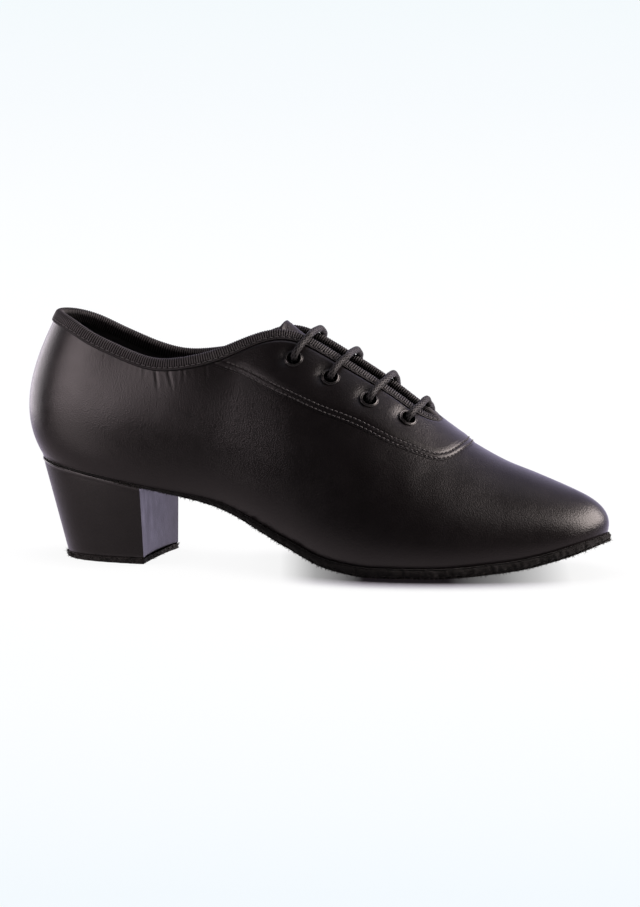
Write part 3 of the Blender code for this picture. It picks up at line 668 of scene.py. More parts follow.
def end_faces(first, rows):
    """Faces that close the end of a folded sheet with some points round it."""
    return [
        [first + j, first + j + 1, first + rows - 2 - j, first + rows - 1 - j] for j in range(rows // 2 - 1)
    ]


def make_piece(name, points, faces, materials, slot, nodes=(), zones=None, weld=1e-6, sharp=50, relief=None):
    """A mesh piece in the row's frame that rides on the shoe, with its material and replaced nodes. The slot
    is not used.
    """
    mesh = bpy.data.meshes.new(name)
    corners = (np.asarray(points).reshape(-1, 3) - CENTRE).tolist()
    mesh.from_pydata(corners, [], [list(face) for face in faces])
    for material in materials:
        mesh.materials.append(material)
    # The relief values stored here are painted shade for the woven materials
    if relief is not None:
        painted_shade = mesh.attributes.new("relief", "FLOAT", "POINT")
        painted_shade.data.foreach_set("value", np.asarray(relief, np.float32).ravel())
    if zones is not None:
        mesh.polygons.foreach_set("material_index", np.asarray(zones, np.int32))
    shape = bmesh.new()
    shape.from_mesh(mesh)
    bmesh.ops.remove_doubles(shape, verts=shape.verts, dist=weld)
    bmesh.ops.dissolve_degenerate(shape, edges=shape.edges, dist=1e-8)
    bmesh.ops.recalc_face_normals(shape, faces=shape.faces)
    shape.to_mesh(mesh)
    shape.free()
    mesh.shade_smooth()
    mesh.set_sharp_from_angle(angle=math.radians(sharp))
    piece = bpy.data.objects.new(name, mesh)
    bpy.context.scene.collection.objects.link(piece)
    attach(piece, "root")
    if nodes:
        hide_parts(*nodes)
    return piece


def node_tree(name):
    material = bpy.data.materials.new(name)
    material.use_nodes = True
    tree = material.node_tree
    return material, tree, tree.nodes["Principled BSDF"]


def add_node(tree, kind, **settings):
    node = tree.nodes.new(kind)
    for key, value in settings.items():
        if key in node.inputs:
            node.inputs[key].default_value = value
        else:
            setattr(node, key, value)
    return node


def place_texture(tree, kind, scale, **settings):
    """A texture that reads the object's own coordinates, with features of a size in metres."""
    place = tree.nodes.get("place") or add_node(tree, "ShaderNodeTexCoord", name="place")
    texture = add_node(tree, kind, Scale=1.0 / scale, **settings)
    tree.links.new(place.outputs["Object"], texture.inputs["Vector"])
    return texture


def ramp(tree, value, stops):
    """Colours or greys spread over a value."""
    node = tree.nodes.new("ShaderNodeValToRGB")
    while len(node.color_ramp.elements) < len(stops):
        node.color_ramp.elements.new(0.5)
    for element, (place, colour) in zip(node.color_ramp.elements, stops):
        element.position = place
        element.color = (*colour, 1.0)
    tree.links.new(value, node.inputs["Fac"])
    return node.outputs["Color"]


def grey(value):
    return (value, value, value)


def paint(tree, shader, socket, source, places, colours):
    """Two colours spread over a texture's or attribute's value and linked to a socket of the shader."""
    stops = tuple(zip(places, colours))
    tree.links.new(ramp(tree, source.outputs["Fac"], stops), shader.inputs[socket])


def blend_colours(tree, kind, first, second, weight=None):
    """Two colours put together, fully or by a weight."""
    blend = add_node(tree, "ShaderNodeMix", data_type="RGBA", blend_type=kind)
    if weight is None:
        blend.inputs["Factor"].default_value = 1.0
    else:
        tree.links.new(weight, blend.inputs["Factor"])
    tree.links.new(first, blend.inputs["A"])
    tree.links.new(second, blend.inputs["B"])
    return blend.outputs["Result"]


def spread(tree, value, low, high):
    """A value spread to between 0 and 1 from a low end to a high end."""
    node = add_node(tree, "ShaderNodeMapRange")
    node.inputs["From Min"].default_value = low
    node.inputs["From Max"].default_value = high
    tree.links.new(value, node.inputs["Value"])
    return node.outputs["Result"]


def bumps(tree, shader, layers):
    """Bump layers, each a height, a distance in metres and a strength, one over the other."""
    before = None
    for height, distance, strength in layers:
        bump = add_node(tree, "ShaderNodeBump", Distance=distance, Strength=strength)
        tree.links.new(height, bump.inputs["Height"])
        if before is not None:
            tree.links.new(before, bump.inputs["Normal"])
        before = bump.outputs["Normal"]
    tree.links.new(before, shader.inputs["Normal"])


def leather_material(name, rough, specular):
    """Smooth calf: cells of grain with fine pores, uneven dye and uneven polish."""
    material, tree, shader = node_tree(name)
    cells = place_texture(tree, "ShaderNodeTexVoronoi", GRAIN, feature="F1")
    pores = place_texture(tree, NOISE, GRAIN * 0.35, Detail=3.0)
    folds = place_texture(tree, NOISE, 0.006, Detail=4.0, Roughness=0.6)
    dye = place_texture(tree, NOISE, 0.018, Detail=5.0, Roughness=0.6)
    paint(tree, shader, "Base Color", dye, (0.3, 0.7), DYES[name])
    paint(tree, shader, "Roughness", folds, (0.3, 0.7), map(grey, rough))
    shader.inputs["Specular IOR Level"].default_value = specular
    layers = (
        (folds.outputs["Fac"], 0.0006, 0.045),
        (cells.outputs["Distance"], 0.00018, 0.34),
        (pores.outputs["Fac"], 0.00006, 0.30),
    )
    bumps(tree, shader, layers)
    return material


def suede_material(name):
    """Napped suede: clumped fibres, rough all over, with a soft sheen."""
    material, tree, shader = node_tree(name)
    clumps = place_texture(tree, NOISE, 0.0022, Detail=6.0, Roughness=0.7)
    nap = place_texture(tree, NOISE, 0.00035, Detail=4.0, Roughness=0.7)
    paint(tree, shader, "Base Color", clumps, (0.32, 0.70), DYES[name])
    shader.inputs["Roughness"].default_value = 0.95
    shader.inputs["Specular IOR Level"].default_value = 0.15
    shader.inputs["Sheen Weight"].default_value = 0.04
    shader.inputs["Sheen Roughness"].default_value = 0.6
    bumps(tree, shader, ((clumps.outputs["Fac"], 0.0007, 0.6), (nap.outputs["Fac"], 0.00025, 0.7)))
    return material


def woven_material(name, thread, sheen, relief=False):
    """Fine woven or braided yarn: small threads over the shape, and with relief painted shade between the
    yarns from the piece's stored values.
    """
    material, tree, shader = node_tree(name)
    yarn = place_texture(tree, NOISE, thread, Detail=3.0, Roughness=0.65)
    wear = place_texture(tree, NOISE, 0.005, Detail=4.0)
    colour = ramp(tree, yarn.outputs["Fac"], tuple(zip((0.35, 0.68), DYES[name])))
    if relief:
        # Painted shade: the stored values darken the colour in grooves and between yarns, and also set the
        # specular level
        painted_shade = add_node(tree, "ShaderNodeAttribute", attribute_name="relief")
        stops = ((0.15, grey(0.06)), (0.55, grey(0.55)), (0.95, grey(1.0)))
        colour = blend_colours(tree, "MULTIPLY", colour, ramp(tree, painted_shade.outputs["Fac"], stops))
        paint(tree, shader, "Specular IOR Level", painted_shade, (0.1, 0.8), (grey(0.02), grey(0.40)))
    else:
        shader.inputs["Specular IOR Level"].default_value = 0.35
    tree.links.new(colour, shader.inputs["Base Color"])
    paint(tree, shader, "Roughness", wear, (0.3, 0.7), (grey(0.55), grey(0.70)))
    shader.inputs["Sheen Weight"].default_value = sheen
    shader.inputs["Sheen Roughness"].default_value = 0.45
    bumps(tree, shader, ((yarn.outputs["Fac"], 0.00012, 0.6),))
    return material


def metal_material(name):
    """Black enamelled metal, worn a little brighter in places."""
    material, tree, shader = node_tree(name)
    wear = place_texture(tree, NOISE, 0.0015, Detail=4.0)
    paint(tree, shader, "Base Color", wear, (0.35, 0.75), DYES[name])
    paint(tree, shader, "Roughness", wear, (0.3, 0.7), (grey(0.20), grey(0.26)))
    shader.inputs["Metallic"].default_value = 0.50
    shader.inputs["Specular IOR Level"].default_value = 0.6
    bumps(tree, shader, ((wear.outputs["Fac"], 0.00004, 0.06),))
    return material


CALF = leather_material("calf_skin", (0.28, 0.35), 0.30)
HEEL_CALF = leather_material("heel_skin", (0.34, 0.42), 0.32)
TONGUE_CALF = leather_material("tongue_skin", (0.40, 0.48), 0.24)
LINING = leather_material("lining_skin", (0.62, 0.74), 0.20)
FOOTBED = suede_material("footbed_nap")
LIFT_SUEDE = suede_material("lift_nap")
SUEDE = suede_material("sole_suede")
FIBRE = suede_material("suede_fibre")
GROSGRAIN = woven_material("grosgrain_weave", 0.00030, 0.02, True)
BRAID = woven_material("lace_yarn", 0.00028, 0.04, True)
THREAD = woven_material("thread_yarn", 0.00018, 0.07)
METAL = metal_material("eyelet_enamel")


def skin_point(u, t, lift, relief=True):
    """Point of the dressed surface: the last's surface, the leather's relief, and a lift above it."""
    points = surface(u, t)
    height = np.asarray(lift, float) + (leather_relief(points) if relief else 0.0)
    return points + normal(u, t) * np.broadcast_to(height, points.shape[:-1])[..., None]


def eyelet_cutters():
    """Round bodies on the eyelets' axes, joined, that cut their holes."""
    shape = bmesh.new()
    radius = EYELET_BARREL + 0.5 * GAP
    for _, way, height in eyelet_places():
        centre = Vector(surface(way, height) - CENTRE)
        turn = Vector(normal(way, height)).to_track_quat("Z", "Y").to_matrix().to_4x4()
        turn.translation = centre
        bmesh.ops.create_cone(
            shape, cap_ends=True, segments=32, radius1=radius, radius2=radius, depth=0.014, matrix=turn
        )
    mesh = bpy.data.meshes.new("hole_cutters")
    shape.to_mesh(mesh)
    shape.free()
    return bpy.data.objects.new("hole_cutters", mesh)


def cut_holes(piece, cutters):
    """Cut the eyelets' holes and keep the result as the piece's own mesh."""
    bpy.context.scene.collection.objects.link(cutters)
    holes = piece.modifiers.new("holes", "BOOLEAN")
    holes.operation = "DIFFERENCE"
    holes.solver = "EXACT"
    holes.object = cutters
    depsgraph = bpy.context.evaluated_depsgraph_get()
    cut = bpy.data.meshes.new_from_object(piece.evaluated_get(depsgraph))
    piece.modifiers.clear()
    piece.data = cut
    bpy.context.scene.collection.objects.unlink(cutters)


def upper_piece():
    """The vamp and quarters with their lining: one closed wall, open at collar, throat and underneath."""
    half = np.linspace(0, 1, 441)
    ways = both_ways(half)[1:]
    top = line_height(TOP_LINE, ways)
    outer_rows = np.linspace(0, 1, 62)
    inner_rows = np.linspace(1, 0, 14)
    outer = skin_point(ways[:, None], top[:, None] * outer_rows, 0.0)
    foot = outer[:, :1] - np.array((0, 0, 0.00045))
    inner = skin_point(ways[:, None], top[:, None] * inner_rows, -WALL, relief=False)
    points = np.concatenate([foot, outer, inner], axis=1)
    columns, rows = points.shape[:2]
    faces = grid_faces(columns, rows, ring=True, tube=True)
    row_of = np.tile(np.arange(rows), columns)
    zones = (row_of >= len(outer_rows)).astype(int)
    toe = np.abs(ways) >= TOP_LINE["end"]
    wall = np.repeat(toe & np.roll(toe, -1), rows) & (row_of == len(outer_rows))
    return make_piece(
        "upper_leather", points, faces[~wall], (CALF, LINING), "calf", ("upper",), zones[~wall]
    )


def facing_flap(sign, columns, rows):
    """Ways and heights over one flap of the eyestay, from its seam up to the tape."""
    edge_way, edge_height = tape_edge(TAPE_WIDTH - TAPE_OVERLAP)
    front = edge_way.max()
    edge_height = np.append(edge_height, 1.0)
    edge_way = np.append(sign * edge_way, front)
    order = np.argsort(edge_way)
    end = SEAM_LINE["end"]
    side = np.concatenate(
        [
            np.linspace(FACING_START, FLAP_TURN, columns, endpoint=False),
            stretch(FLAP_TURN, front, columns // 3, True),
            stretch(front, end, columns // 3, True),
        ]
    )
    tape = np.interp(side, edge_way[order], edge_height[order], right=1.0)
    seam = line_height(SEAM_LINE, side)
    share = np.linspace(0, 1, rows) ** FLAP_BUNCH
    return sign * side, seam[:, None] + (tape - seam)[:, None] * share


def seam_distance(points):
    """Distance of points from the eyestay's seam."""
    last_row = SEAM_LINE["way"][-1]
    closing = stretch(last_row, SEAM_LINE["end"], 80, True)
    ways = np.concatenate([np.linspace(0.30, last_row, 160), closing])
    lines = [surface(sign * ways, line_height(SEAM_LINE, ways)) for sign in (1, -1)]
    line = np.concatenate(lines)
    flat = points.reshape(-1, 3)
    nearest = np.full(len(flat), 1.0)
    for part in np.array_split(np.arange(len(line)), 24):
        gaps = np.linalg.norm(flat[:, None] - line[part][None], axis=-1).min(axis=1)
        nearest = np.minimum(nearest, gaps)
    return nearest.reshape(points.shape[:-1])


def flap_lift(away):
    """Height of the eyestay over the surface, rising from its skived edge with the distance from the seam."""
    edge = np.clip(away / FLAP_SKIVE, 0, 1)
    full = FACING_LIFT + FACING - FLAP_EDGE
    return FLAP_EDGE + full * np.clip(away / FLAP_RISE, 0, 1) ** FLAP_POWER * edge


def facing_piece():
    """The eyestay laid over the vamp, with a skived round edge and two sewn grooves."""
    columns, rows = FACING_GRID
    front = tape_edge(TAPE_WIDTH - TAPE_OVERLAP)[0].max()
    points = []
    faces = []
    caps = []
    for sign in (1, -1):
        side, heights = facing_flap(sign, columns, rows)
        base = surface(side[:, None], heights)
        away = seam_distance(base)
        lift = flap_lift(away)
        for row in SEAM_STITCHES:
            lift = lift - SEAM_GROOVE[0] * bell(away, row, SEAM_GROOVE[1])
        lift = lift + leather_relief(base)
        below = np.linalg.norm(base - base[:, -1:], axis=-1)
        near_tape = np.clip((front - np.abs(side)) / TAPE_FADE, 0, 1)[:, None]
        dive = 1 - near_tape * (1 - np.clip((below - TAPE_OVERLAP) / FLAP_DIVE, 0, 1))
        lift = FLAP_LEAST + (lift - FLAP_LEAST) * dive
        square = normal(side[:, None], heights)
        under = np.minimum(lift - FLAP_LEAST, 0.3 * GAP)
        over, under = (base + square * height[..., None] for height in (lift, under))
        first = len(points) * len(side) * 2 * rows
        points.append(np.concatenate([over, under[:, ::-1]], axis=1).reshape(-1, 3))
        faces.append(grid_faces(len(side), 2 * rows, tube=True) + first)
        caps += end_faces(first, 2 * rows)
    data = np.concatenate(points), np.concatenate(faces + [caps])
    piece = make_piece("facing_leather", *data, (CALF,), "calf", ("facing",))
    drop_inner_walls(piece)
    return piece


def drop_inner_walls(piece):
    """Remove the faces where the two flaps touch along the ridge, so that they are one body."""
    shape = bmesh.new()
    shape.from_mesh(piece.data)
    bmesh.ops.remove_doubles(shape, verts=shape.verts, dist=2e-6)
    crowded = [edge for edge in shape.edges if len(edge.link_faces) > 2]
    walls = {}
    for edge in crowded:
        for face in edge.link_faces:
            walls[face] = walls.get(face, 0) + 1
    inner = [face for face, count in walls.items() if count >= 2]
    bmesh.ops.delete(shape, geom=inner, context="FACES_ONLY")
    bmesh.ops.recalc_face_normals(shape, faces=shape.faces)
    shape.to_mesh(piece.data)
    shape.free()


def even_ring(count):
    """Ways at even distances along the top line, and its length."""
    ring = top_line_ring()
    points = surface(ring, line_height(TOP_LINE, ring))
    closed = np.concatenate([points, points[:1]])
    lengths = path_lengths(closed)
    places = np.linspace(0, lengths[-1], count, endpoint=False)
    ways = np.interp(places, lengths[:-1], ring)
    return ways, places, lengths[-1]


def tape_row(ways, distance, lift):
    """Points at a distance below the top line, lifted over the leather."""
    place = walk(ways, *top_line_frame(ways), distance)
    return surface(*place) + normal(*place) * np.reshape(lift, (-1, 1))


def tape_end(distance):
    """How full the tape still is towards its skived edge."""
    return np.sqrt(np.clip((TAPE_WIDTH - distance) / TAPE_SKIVE, 0, 1))


def binding_piece():
    """Ribbed tape folded round the top line: two legs and a round fold, with a sewn groove. Its stored values
    paint shade: darker between the ribs, in the sewn groove, along the skived edge and on the inner faces.
    """
    length = even_ring(8)[2]
    ribs = int(round(length / RIB_PITCH))
    ways, places, length = even_ring(ribs * 6)
    phase = np.cos(places / length * ribs * 2 * math.pi)
    fine = np.cos(places / length * ribs * 4 * math.pi + 0.7)
    heights, down = top_line_frame(ways)
    out = normal(ways, heights)
    edge = surface(ways, heights)
    outer = []
    shades = []
    dress = leather_relief(edge)
    for distance in TAPE_ROWS:
        wave, height = (phase, RIB_HEIGHT) if distance < TAPE_STITCH else (fine, 0.5 * RIB_HEIGHT)
        groove = TAPE_GROOVE[0] * bell(distance, TAPE_STITCH, TAPE_GROOVE[1])
        end = tape_end(distance)
        lift = GAP + TAPE * (0.35 + 0.65 * end) + (height * wave - groove) * end + dress * TAPE_DRESS
        outer.append(tape_row(ways, distance, lift))
        # painted shade: dark between the ribs, in the sewn groove and towards the skived edge
        shades.append((0.5 + 0.5 * wave) * end * (1 - 3000 * groove))
    fold = WALL / 2 + 1.5 * GAP + TAPE
    for angle in np.linspace(0, math.pi, 9)[1:-1]:
        radius = fold + RIB_HEIGHT * phase
        reach = -down * (radius * math.sin(angle))[:, None]
        outer.append(edge + reach + out * (radius * math.cos(angle) - (WALL + GAP) / 2)[:, None])
        shades.append(0.5 + 0.5 * phase)
    depth = -WALL - 2 * GAP - TAPE
    for distance in TAPE_ROWS[::-1][::2]:
        end = tape_end(distance)
        outer.append(tape_row(ways, distance, depth * (0.75 + 0.25 * end) - RIB_HEIGHT * phase * end))
        # painted shade: the fold's inner leg is kept darker
        shades.append(0.4 * (0.5 + 0.5 * phase))
    legs = (TAPE_WIDTH, TAPE_WIDTH / 2, 0.0)
    inner = [tape_row(ways, distance, -WALL - GAP) for distance in legs]
    inner.append(edge - down * GAP - out * (WALL / 2))
    inner += [tape_row(ways, distance, 0.5 * GAP) for distance in legs[::-1]]
    points = np.stack(outer + inner, axis=1)
    # painted shade: the hidden inner rows are black
    shades = np.stack(shades + [np.zeros(len(ways))] * len(inner), axis=1)
    faces = grid_faces(*points.shape[:2], ring=True, tube=True)
    return make_piece("binding_tape", points, faces, (GROSGRAIN,), "grosgrain", ("binding",), relief=shades)


def thread_mesh(points, normals, pitch, radius, share=0.80, closed=False):
    """Stitches along a line on a surface: short bowed threads that dive at both ends."""
    path = np.concatenate([points, points[:1]]) if closed else points
    square = np.concatenate([normals, normals[:1]]) if closed else normals
    lengths = path_lengths(path)
    count = max(int(lengths[-1] / pitch), 1)
    step = lengths[-1] / count
    rings, sides = 7, 6
    along = (np.arange(count)[:, None] + 0.5 + (np.linspace(0, 1, rings) - 0.5) * share) * step
    middle = along_path(along, lengths, path)
    out = unit(along_path(along, lengths, square))
    bow = np.sin(np.linspace(0, 1, rings) * math.pi) ** 0.6
    middle = middle + out * ((bow - 0.75) * radius * 1.5)[None, :, None]
    tangent = unit(np.gradient(middle, axis=1))
    across = unit(np.cross(tangent, out))
    out = np.cross(across, tangent)
    thick = radius * (0.55 + 0.45 * np.sin(np.linspace(0.12, 0.88, rings) * math.pi))
    grid = middle[:, :, None] + circles(across, out, sides) * thick[None, :, None, None]
    return grid.reshape(-1, 3), tube_faces(count, rings, sides)


def join_parts(parts):
    """One list of points and faces from several."""
    points = []
    faces = []
    start = 0
    for part_points, part_faces in parts:
        points.append(part_points)
        faces += [[start + k for k in face] for face in part_faces]
        start += len(part_points)
    return np.concatenate(points), faces


def tape_stitches():
    """The row of stitches along the tape."""
    ways, _, _ = even_ring(700)
    heights, down = top_line_frame(ways)
    place = walk(ways, heights, down, TAPE_STITCH)
    lift = GAP + TAPE - TAPE_THREAD_SINK + leather_relief(surface(ways, heights)) * TAPE_DRESS
    square = normal(*place)
    line = surface(*place) + square * np.reshape(lift, (-1, 1))
    points, faces = thread_mesh(line, square, TAPE_STITCH_PITCH, TAPE_THREAD, closed=True)
    return make_piece("binding_stitches", points, faces, (THREAD,), "grosgrain", weld=1e-9)


def seam_offset_line(distance):
    """A line over the eyestay at a distance from its seam, from one collar to the other, and its normals."""
    last_row = SEAM_LINE["way"][-1]
    closing = stretch(last_row, SEAM_LINE["end"], 70, True)
    half = np.concatenate([np.linspace(0.336, last_row, 150), closing])
    ways = np.concatenate([half, -half[-2::-1]])
    heights = line_height(SEAM_LINE, ways)
    line = surface(ways, heights)
    along = unit(np.gradient(line, axis=0))
    up = unit(np.cross(normal(ways, heights), along))
    lift = flap_lift(distance) - SEAM_THREAD_SINK + leather_relief(line + up * distance)
    place = walk(ways, heights, up, distance)
    square = normal(*place)
    return surface(*place) + square * np.reshape(lift, (-1, 1)), square


def seam_stitches():
    """The two rows of stitches that hold the eyestay."""
    rows = []
    for distance in SEAM_STITCHES:
        points, square = seam_offset_line(distance)
        rows.append(thread_mesh(points, square, SEAM_STITCH_PITCH, SEAM_THREAD, SEAM_THREAD_SHARE))
    points, faces = join_parts(rows)
    return make_piece("facing_stitches", points, faces, (THREAD,), "calf", weld=1e-9)


def tongue_place(x, across, lift):
    """Point of the tongue at a place along it and across it, lifted over its upper face."""
    row_x = TONGUE_SHEET["x"]
    half, middle, bend = (smooth(row_x, TONGUE_SHEET[name], x) for name in ("half", "z", "bend"))
    y = half * across
    slope = smooth(row_x, TONGUE_SHEET["z"], x, slope=True)
    square = unit(np.stack([-slope, 2 * bend * y, np.ones_like(y)], axis=-1))
    point = np.stack([x + 0 * y, y, middle - bend * y**2], axis=-1)
    return point + square * np.reshape(lift, np.shape(lift) + (1,))


def tongue_piece():
    """The tongue: one leather sheet with a soft edge and two shallow folds."""
    row_x = np.array(TONGUE_SHEET["x"])
    share = np.linspace(0, 1, 120)
    x = np.interp(share, np.linspace(0, 1, len(row_x)), row_x)[:, None]
    across = np.sin(np.linspace(-1, 1, 45) * math.pi / 2)[None, :]
    x, across = np.broadcast_arrays(x, across)
    start = row_x[0] - TONGUE_CORNER * across**2
    x = np.where(x < row_x[2], start + (x - row_x[0]) * (row_x[2] - start) / (row_x[2] - row_x[0]), x)
    end = np.clip((1 - np.abs(across)) / 0.04, 0, 1) * np.clip((x - start) / TONGUE_EDGE, 0, 1)
    soft = np.sqrt(1 - (1 - np.clip(end, 0, 1)) ** 2)
    folds = TONGUE_FOLD * np.sin(across * 5 + x * 160) * soft
    over = tongue_place(x, across, -TONGUE / 2 + (TONGUE / 2) * soft + folds - 0.0001 * (1 - soft))
    under = tongue_place(x, across, -TONGUE / 2 - (TONGUE / 2) * soft)
    points = np.concatenate([over, under[:, ::-1]], axis=1)
    columns, rows = points.shape[:2]
    faces = grid_faces(columns, rows, tube=True).tolist()
    faces += end_faces(0, rows) + end_faces((columns - 1) * rows, rows)
    return make_piece("tongue_leather", points, faces, (TONGUE_CALF,), "calf", ("tongue",))


def tongue_stitches():
    """Stitches round the tongue's free end."""
    side_x = np.linspace(0.150, 0.1205, 40)
    edge = np.concatenate([side_x, np.full(16, 0.1190), side_x[::-1]])
    row_x = TONGUE_SHEET["x"]
    half = smooth(row_x, TONGUE_SHEET["half"], side_x)
    share = 1 - TONGUE_INSET / half
    turn = np.linspace(-share[-1], share[-1], 18)[1:-1]
    across = np.concatenate([-share, turn, share[::-1]])
    points = tongue_place(edge, across, np.full(len(edge), 0.00005))
    square = unit(points - tongue_place(edge, across, np.full(len(edge), -0.001)))
    data = thread_mesh(points, square, TONGUE_STITCH_PITCH, TONGUE_THREAD)
    return make_piece("tongue_stitches", *data, (THREAD,), "calf", weld=1e-9)


def sole_plan(half, reach, shares):
    """Plan of a sheet inside the feather line: from its edge to a spine along the middle."""
    ways = both_ways(half)[1:]
    foot = OUTLINE(ways)
    edge = foot + outward(ways) * np.reshape(reach(foot[:, 0]), (-1, 1))
    axis = SIZES(ways)[:, 0]
    middle = (foot[:, 0].min() + foot[:, 0].max()) / 2
    spine = np.stack([middle + (foot[:, 0] - middle) * SPINE, axis], axis=-1)
    return spine[:, None] + (edge - spine)[:, None] * np.asarray(shares)[None, :, None]


def tip_rise(x):
    """How far the worn toe end of the sole rounds up from its lower face."""
    return TIP_RISE * np.clip((x - TIP_START) / TIP_LENGTH, 0, 1) ** 2


def fuzz(points, layers):
    """Fuzz of a napped edge: layers of noise, each a height, a size and a seed."""
    return sum(height * noise_wave(points, size, seed) for height, size, seed in layers)


def outsole_piece():
    """One suede-faced sole from heel seat to toe, with a worn round edge, flat where it treads."""
    half = np.linspace(0, 1, 901)
    shares = (1.0, 0.985, 0.95, 0.88, 0.76, 0.58, 0.36, 0.0)

    def reach(x):
        return sole_size("welt", x) - SOLE_HEEL_INSET * smooth((0.0, 0.050, 0.064), (1.0, 1.0, 0.0), x)

    plan = sole_plan(half, reach, shares)
    x = plan[..., 0]
    top_z = sole_top(x)
    bulge = sole_size("bulge", x) * (1 - np.asarray(shares) ** 2)
    low_z = np.maximum(sole_size("bottom", x) - bulge, 0.0) + tip_rise(x)
    thick = top_z - low_z
    corner = np.minimum(SOLE_CORNER, 0.3 * thick)
    top = np.concatenate([plan, top_z[..., None]], axis=-1)
    bottom = np.concatenate([plan, low_z[..., None]], axis=-1)
    out = np.concatenate([outward(both_ways(half)[1:]), np.zeros((2 * len(half) - 2, 1))], axis=1)
    rim = []
    for share in np.linspace(0, 1, 7):
        z = top_z[:, 0] - corner[:, 0] * 0.6 - (thick[:, 0] - corner[:, 0] * 1.4) * share
        round_off = 0.0002 - SOLE_ROUND * thick[:, :1] * (2 * share - 1) ** 4
        rim.append(np.concatenate([plan[:, 0] + round_off * out[:, :2], z[:, None]], axis=-1))
    rim = np.stack(rim, axis=1)
    sag = fuzz(rim, SOLE_SAG) * np.linspace(0, 1, 7)
    rim = rim + out[:, None] * fuzz(rim, SOLE_FUZZ)[..., None]
    rim[..., 2] = np.maximum(rim[..., 2] + sag, 0.0)
    grid = np.concatenate([top[:, :0:-1], rim, bottom[:, 1:]], axis=1)
    faces = grid_faces(*grid.shape[:2], ring=True)
    return make_piece("outsole_suede", grid, faces, (SUEDE,), "suede", ("outsole",), sharp=70)


def heel_outline(share, grow=0.0):
    """Plan of the heel at a share of its height, from 0 at the sole to 1 at the lift, with eased corners."""
    back_ways = np.linspace(0.0, FACING_START, 200)
    seat_way = np.interp(HEEL["breast_top"], OUTLINE(back_ways)[:, 0], back_ways)
    ways = np.linspace(-1, 1, 2 * HEEL_COLUMNS + 1) * seat_way
    seat = OUTLINE(ways) - outward(ways) * (GAP - grow)
    back_top = seat[:, 0].min()
    wide_top = np.ptp(OUTLINE(ways)[:, 1])
    length = (HEEL["breast_low"] - HEEL["back_low"]) / (HEEL["breast_top"] - back_top)
    low_x = HEEL["back_low"] + (seat[:, 0] - back_top) * length
    low_y = seat[:, 1] * (HEEL["width_low"] + 2 * grow) / (wide_top + 2 * grow)
    wall = seat * (1 - share) + np.stack([low_x, low_y], axis=-1) * share
    across = np.linspace(0, 1, BREAST_COLUMNS + 1)[1:-1]
    breast = wall[-1] + (wall[0] - wall[-1]) * across[:, None]
    breast[:, 0] += grow - HEEL["hollow"] * 4 * across * (1 - across)
    breast[:, 0] += breast_wrinkles(across, share)
    return np.concatenate([wall, breast])


def breast_wrinkles(across, share):
    """Upright wrinkles of the cover on the heel's breast, deeper near its outer edge."""
    total = np.zeros_like(across)
    for place, width, depth, lean in BREAST_WRINKLES:
        fade = math.sin(math.pi * min(share + 0.15, 1.0))
        total -= depth * bell(across, place + lean * share, width) * fade
    return total


def ring_block(rings):
    """Points and faces of a closed block through rings from top to bottom."""
    count = len(rings[0])
    faces = grid_faces(len(rings), count, tube=True).tolist()
    sides = 2 * HEEL_COLUMNS + 1
    for base in (0, (len(rings) - 1) * count):
        wall = [base + i for i in range(sides)]
        breast = [base + sides + i for i in range(BREAST_COLUMNS - 1)]
        for i in range(1, HEEL_COLUMNS - 1):
            j = sides - 1 - i
            faces.append([wall[i], wall[i + 1], wall[j - 1], wall[j]])
        faces.append(wall[HEEL_COLUMNS - 1 : HEEL_COLUMNS + 2])
        faces.append([wall[0], wall[1], wall[sides - 2], wall[sides - 1]] + breast)
    return np.concatenate(rings), faces


def heel_piece():
    """The leather-covered heel: a lip at its top, a hollowed breast and a tucked lower edge."""
    levels = np.concatenate([[0.0, 0.006, 0.014, 0.024, 0.036], np.linspace(0.06, 0.96, 22), [0.985, 1.0]])
    low_z = LIFT + 0.5 * GAP
    top_z = sole_size("bottom", heel_outline(0.0)[:, 0]) - 0.5 * GAP
    rings = []
    for share in levels:
        lip = HEEL_LIP[0] * bell(share, *HEEL_LIP[1:]) - HEEL_GROOVE[0] * bell(share, *HEEL_GROOVE[1:])
        tuck = -HEEL_TUCK[0] * max(0.0, (share - HEEL_TUCK[1]) / HEEL_TUCK[2]) ** 2
        plan = heel_outline(share, lip + tuck)
        ring = np.column_stack([plan, top_z + (low_z - top_z) * share])
        ring[:, 1] += fuzz(ring, HEEL_WAVE)
        rings.append(ring)
    return make_piece("heel_cover", *ring_block(rings), (HEEL_CALF,), "calf", ("heel",), sharp=40)


def lift_piece():
    """The suede-faced top piece under the heel, with a fuzzy edge."""
    plan = heel_outline(1.0, LIFT_GROW)
    out = unit(plan - plan.mean(axis=0))
    rings = []
    for share in (1.0, 0.93, 0.75, 0.5, 0.25, 0.07, 0.0):
        ring = np.column_stack([plan, np.full(len(plan), LIFT * share)])
        pinch = -LIFT_PINCH if share in (0.0, 1.0) else 0.0
        ring[:, :2] += out * (fuzz(ring, LIFT_FUZZ) + pinch)[:, None]
        rings.append(ring)
    return make_piece("lift_suede", *ring_block(rings), (LIFT_SUEDE,), "suede", ("heel_lift",), sharp=70)


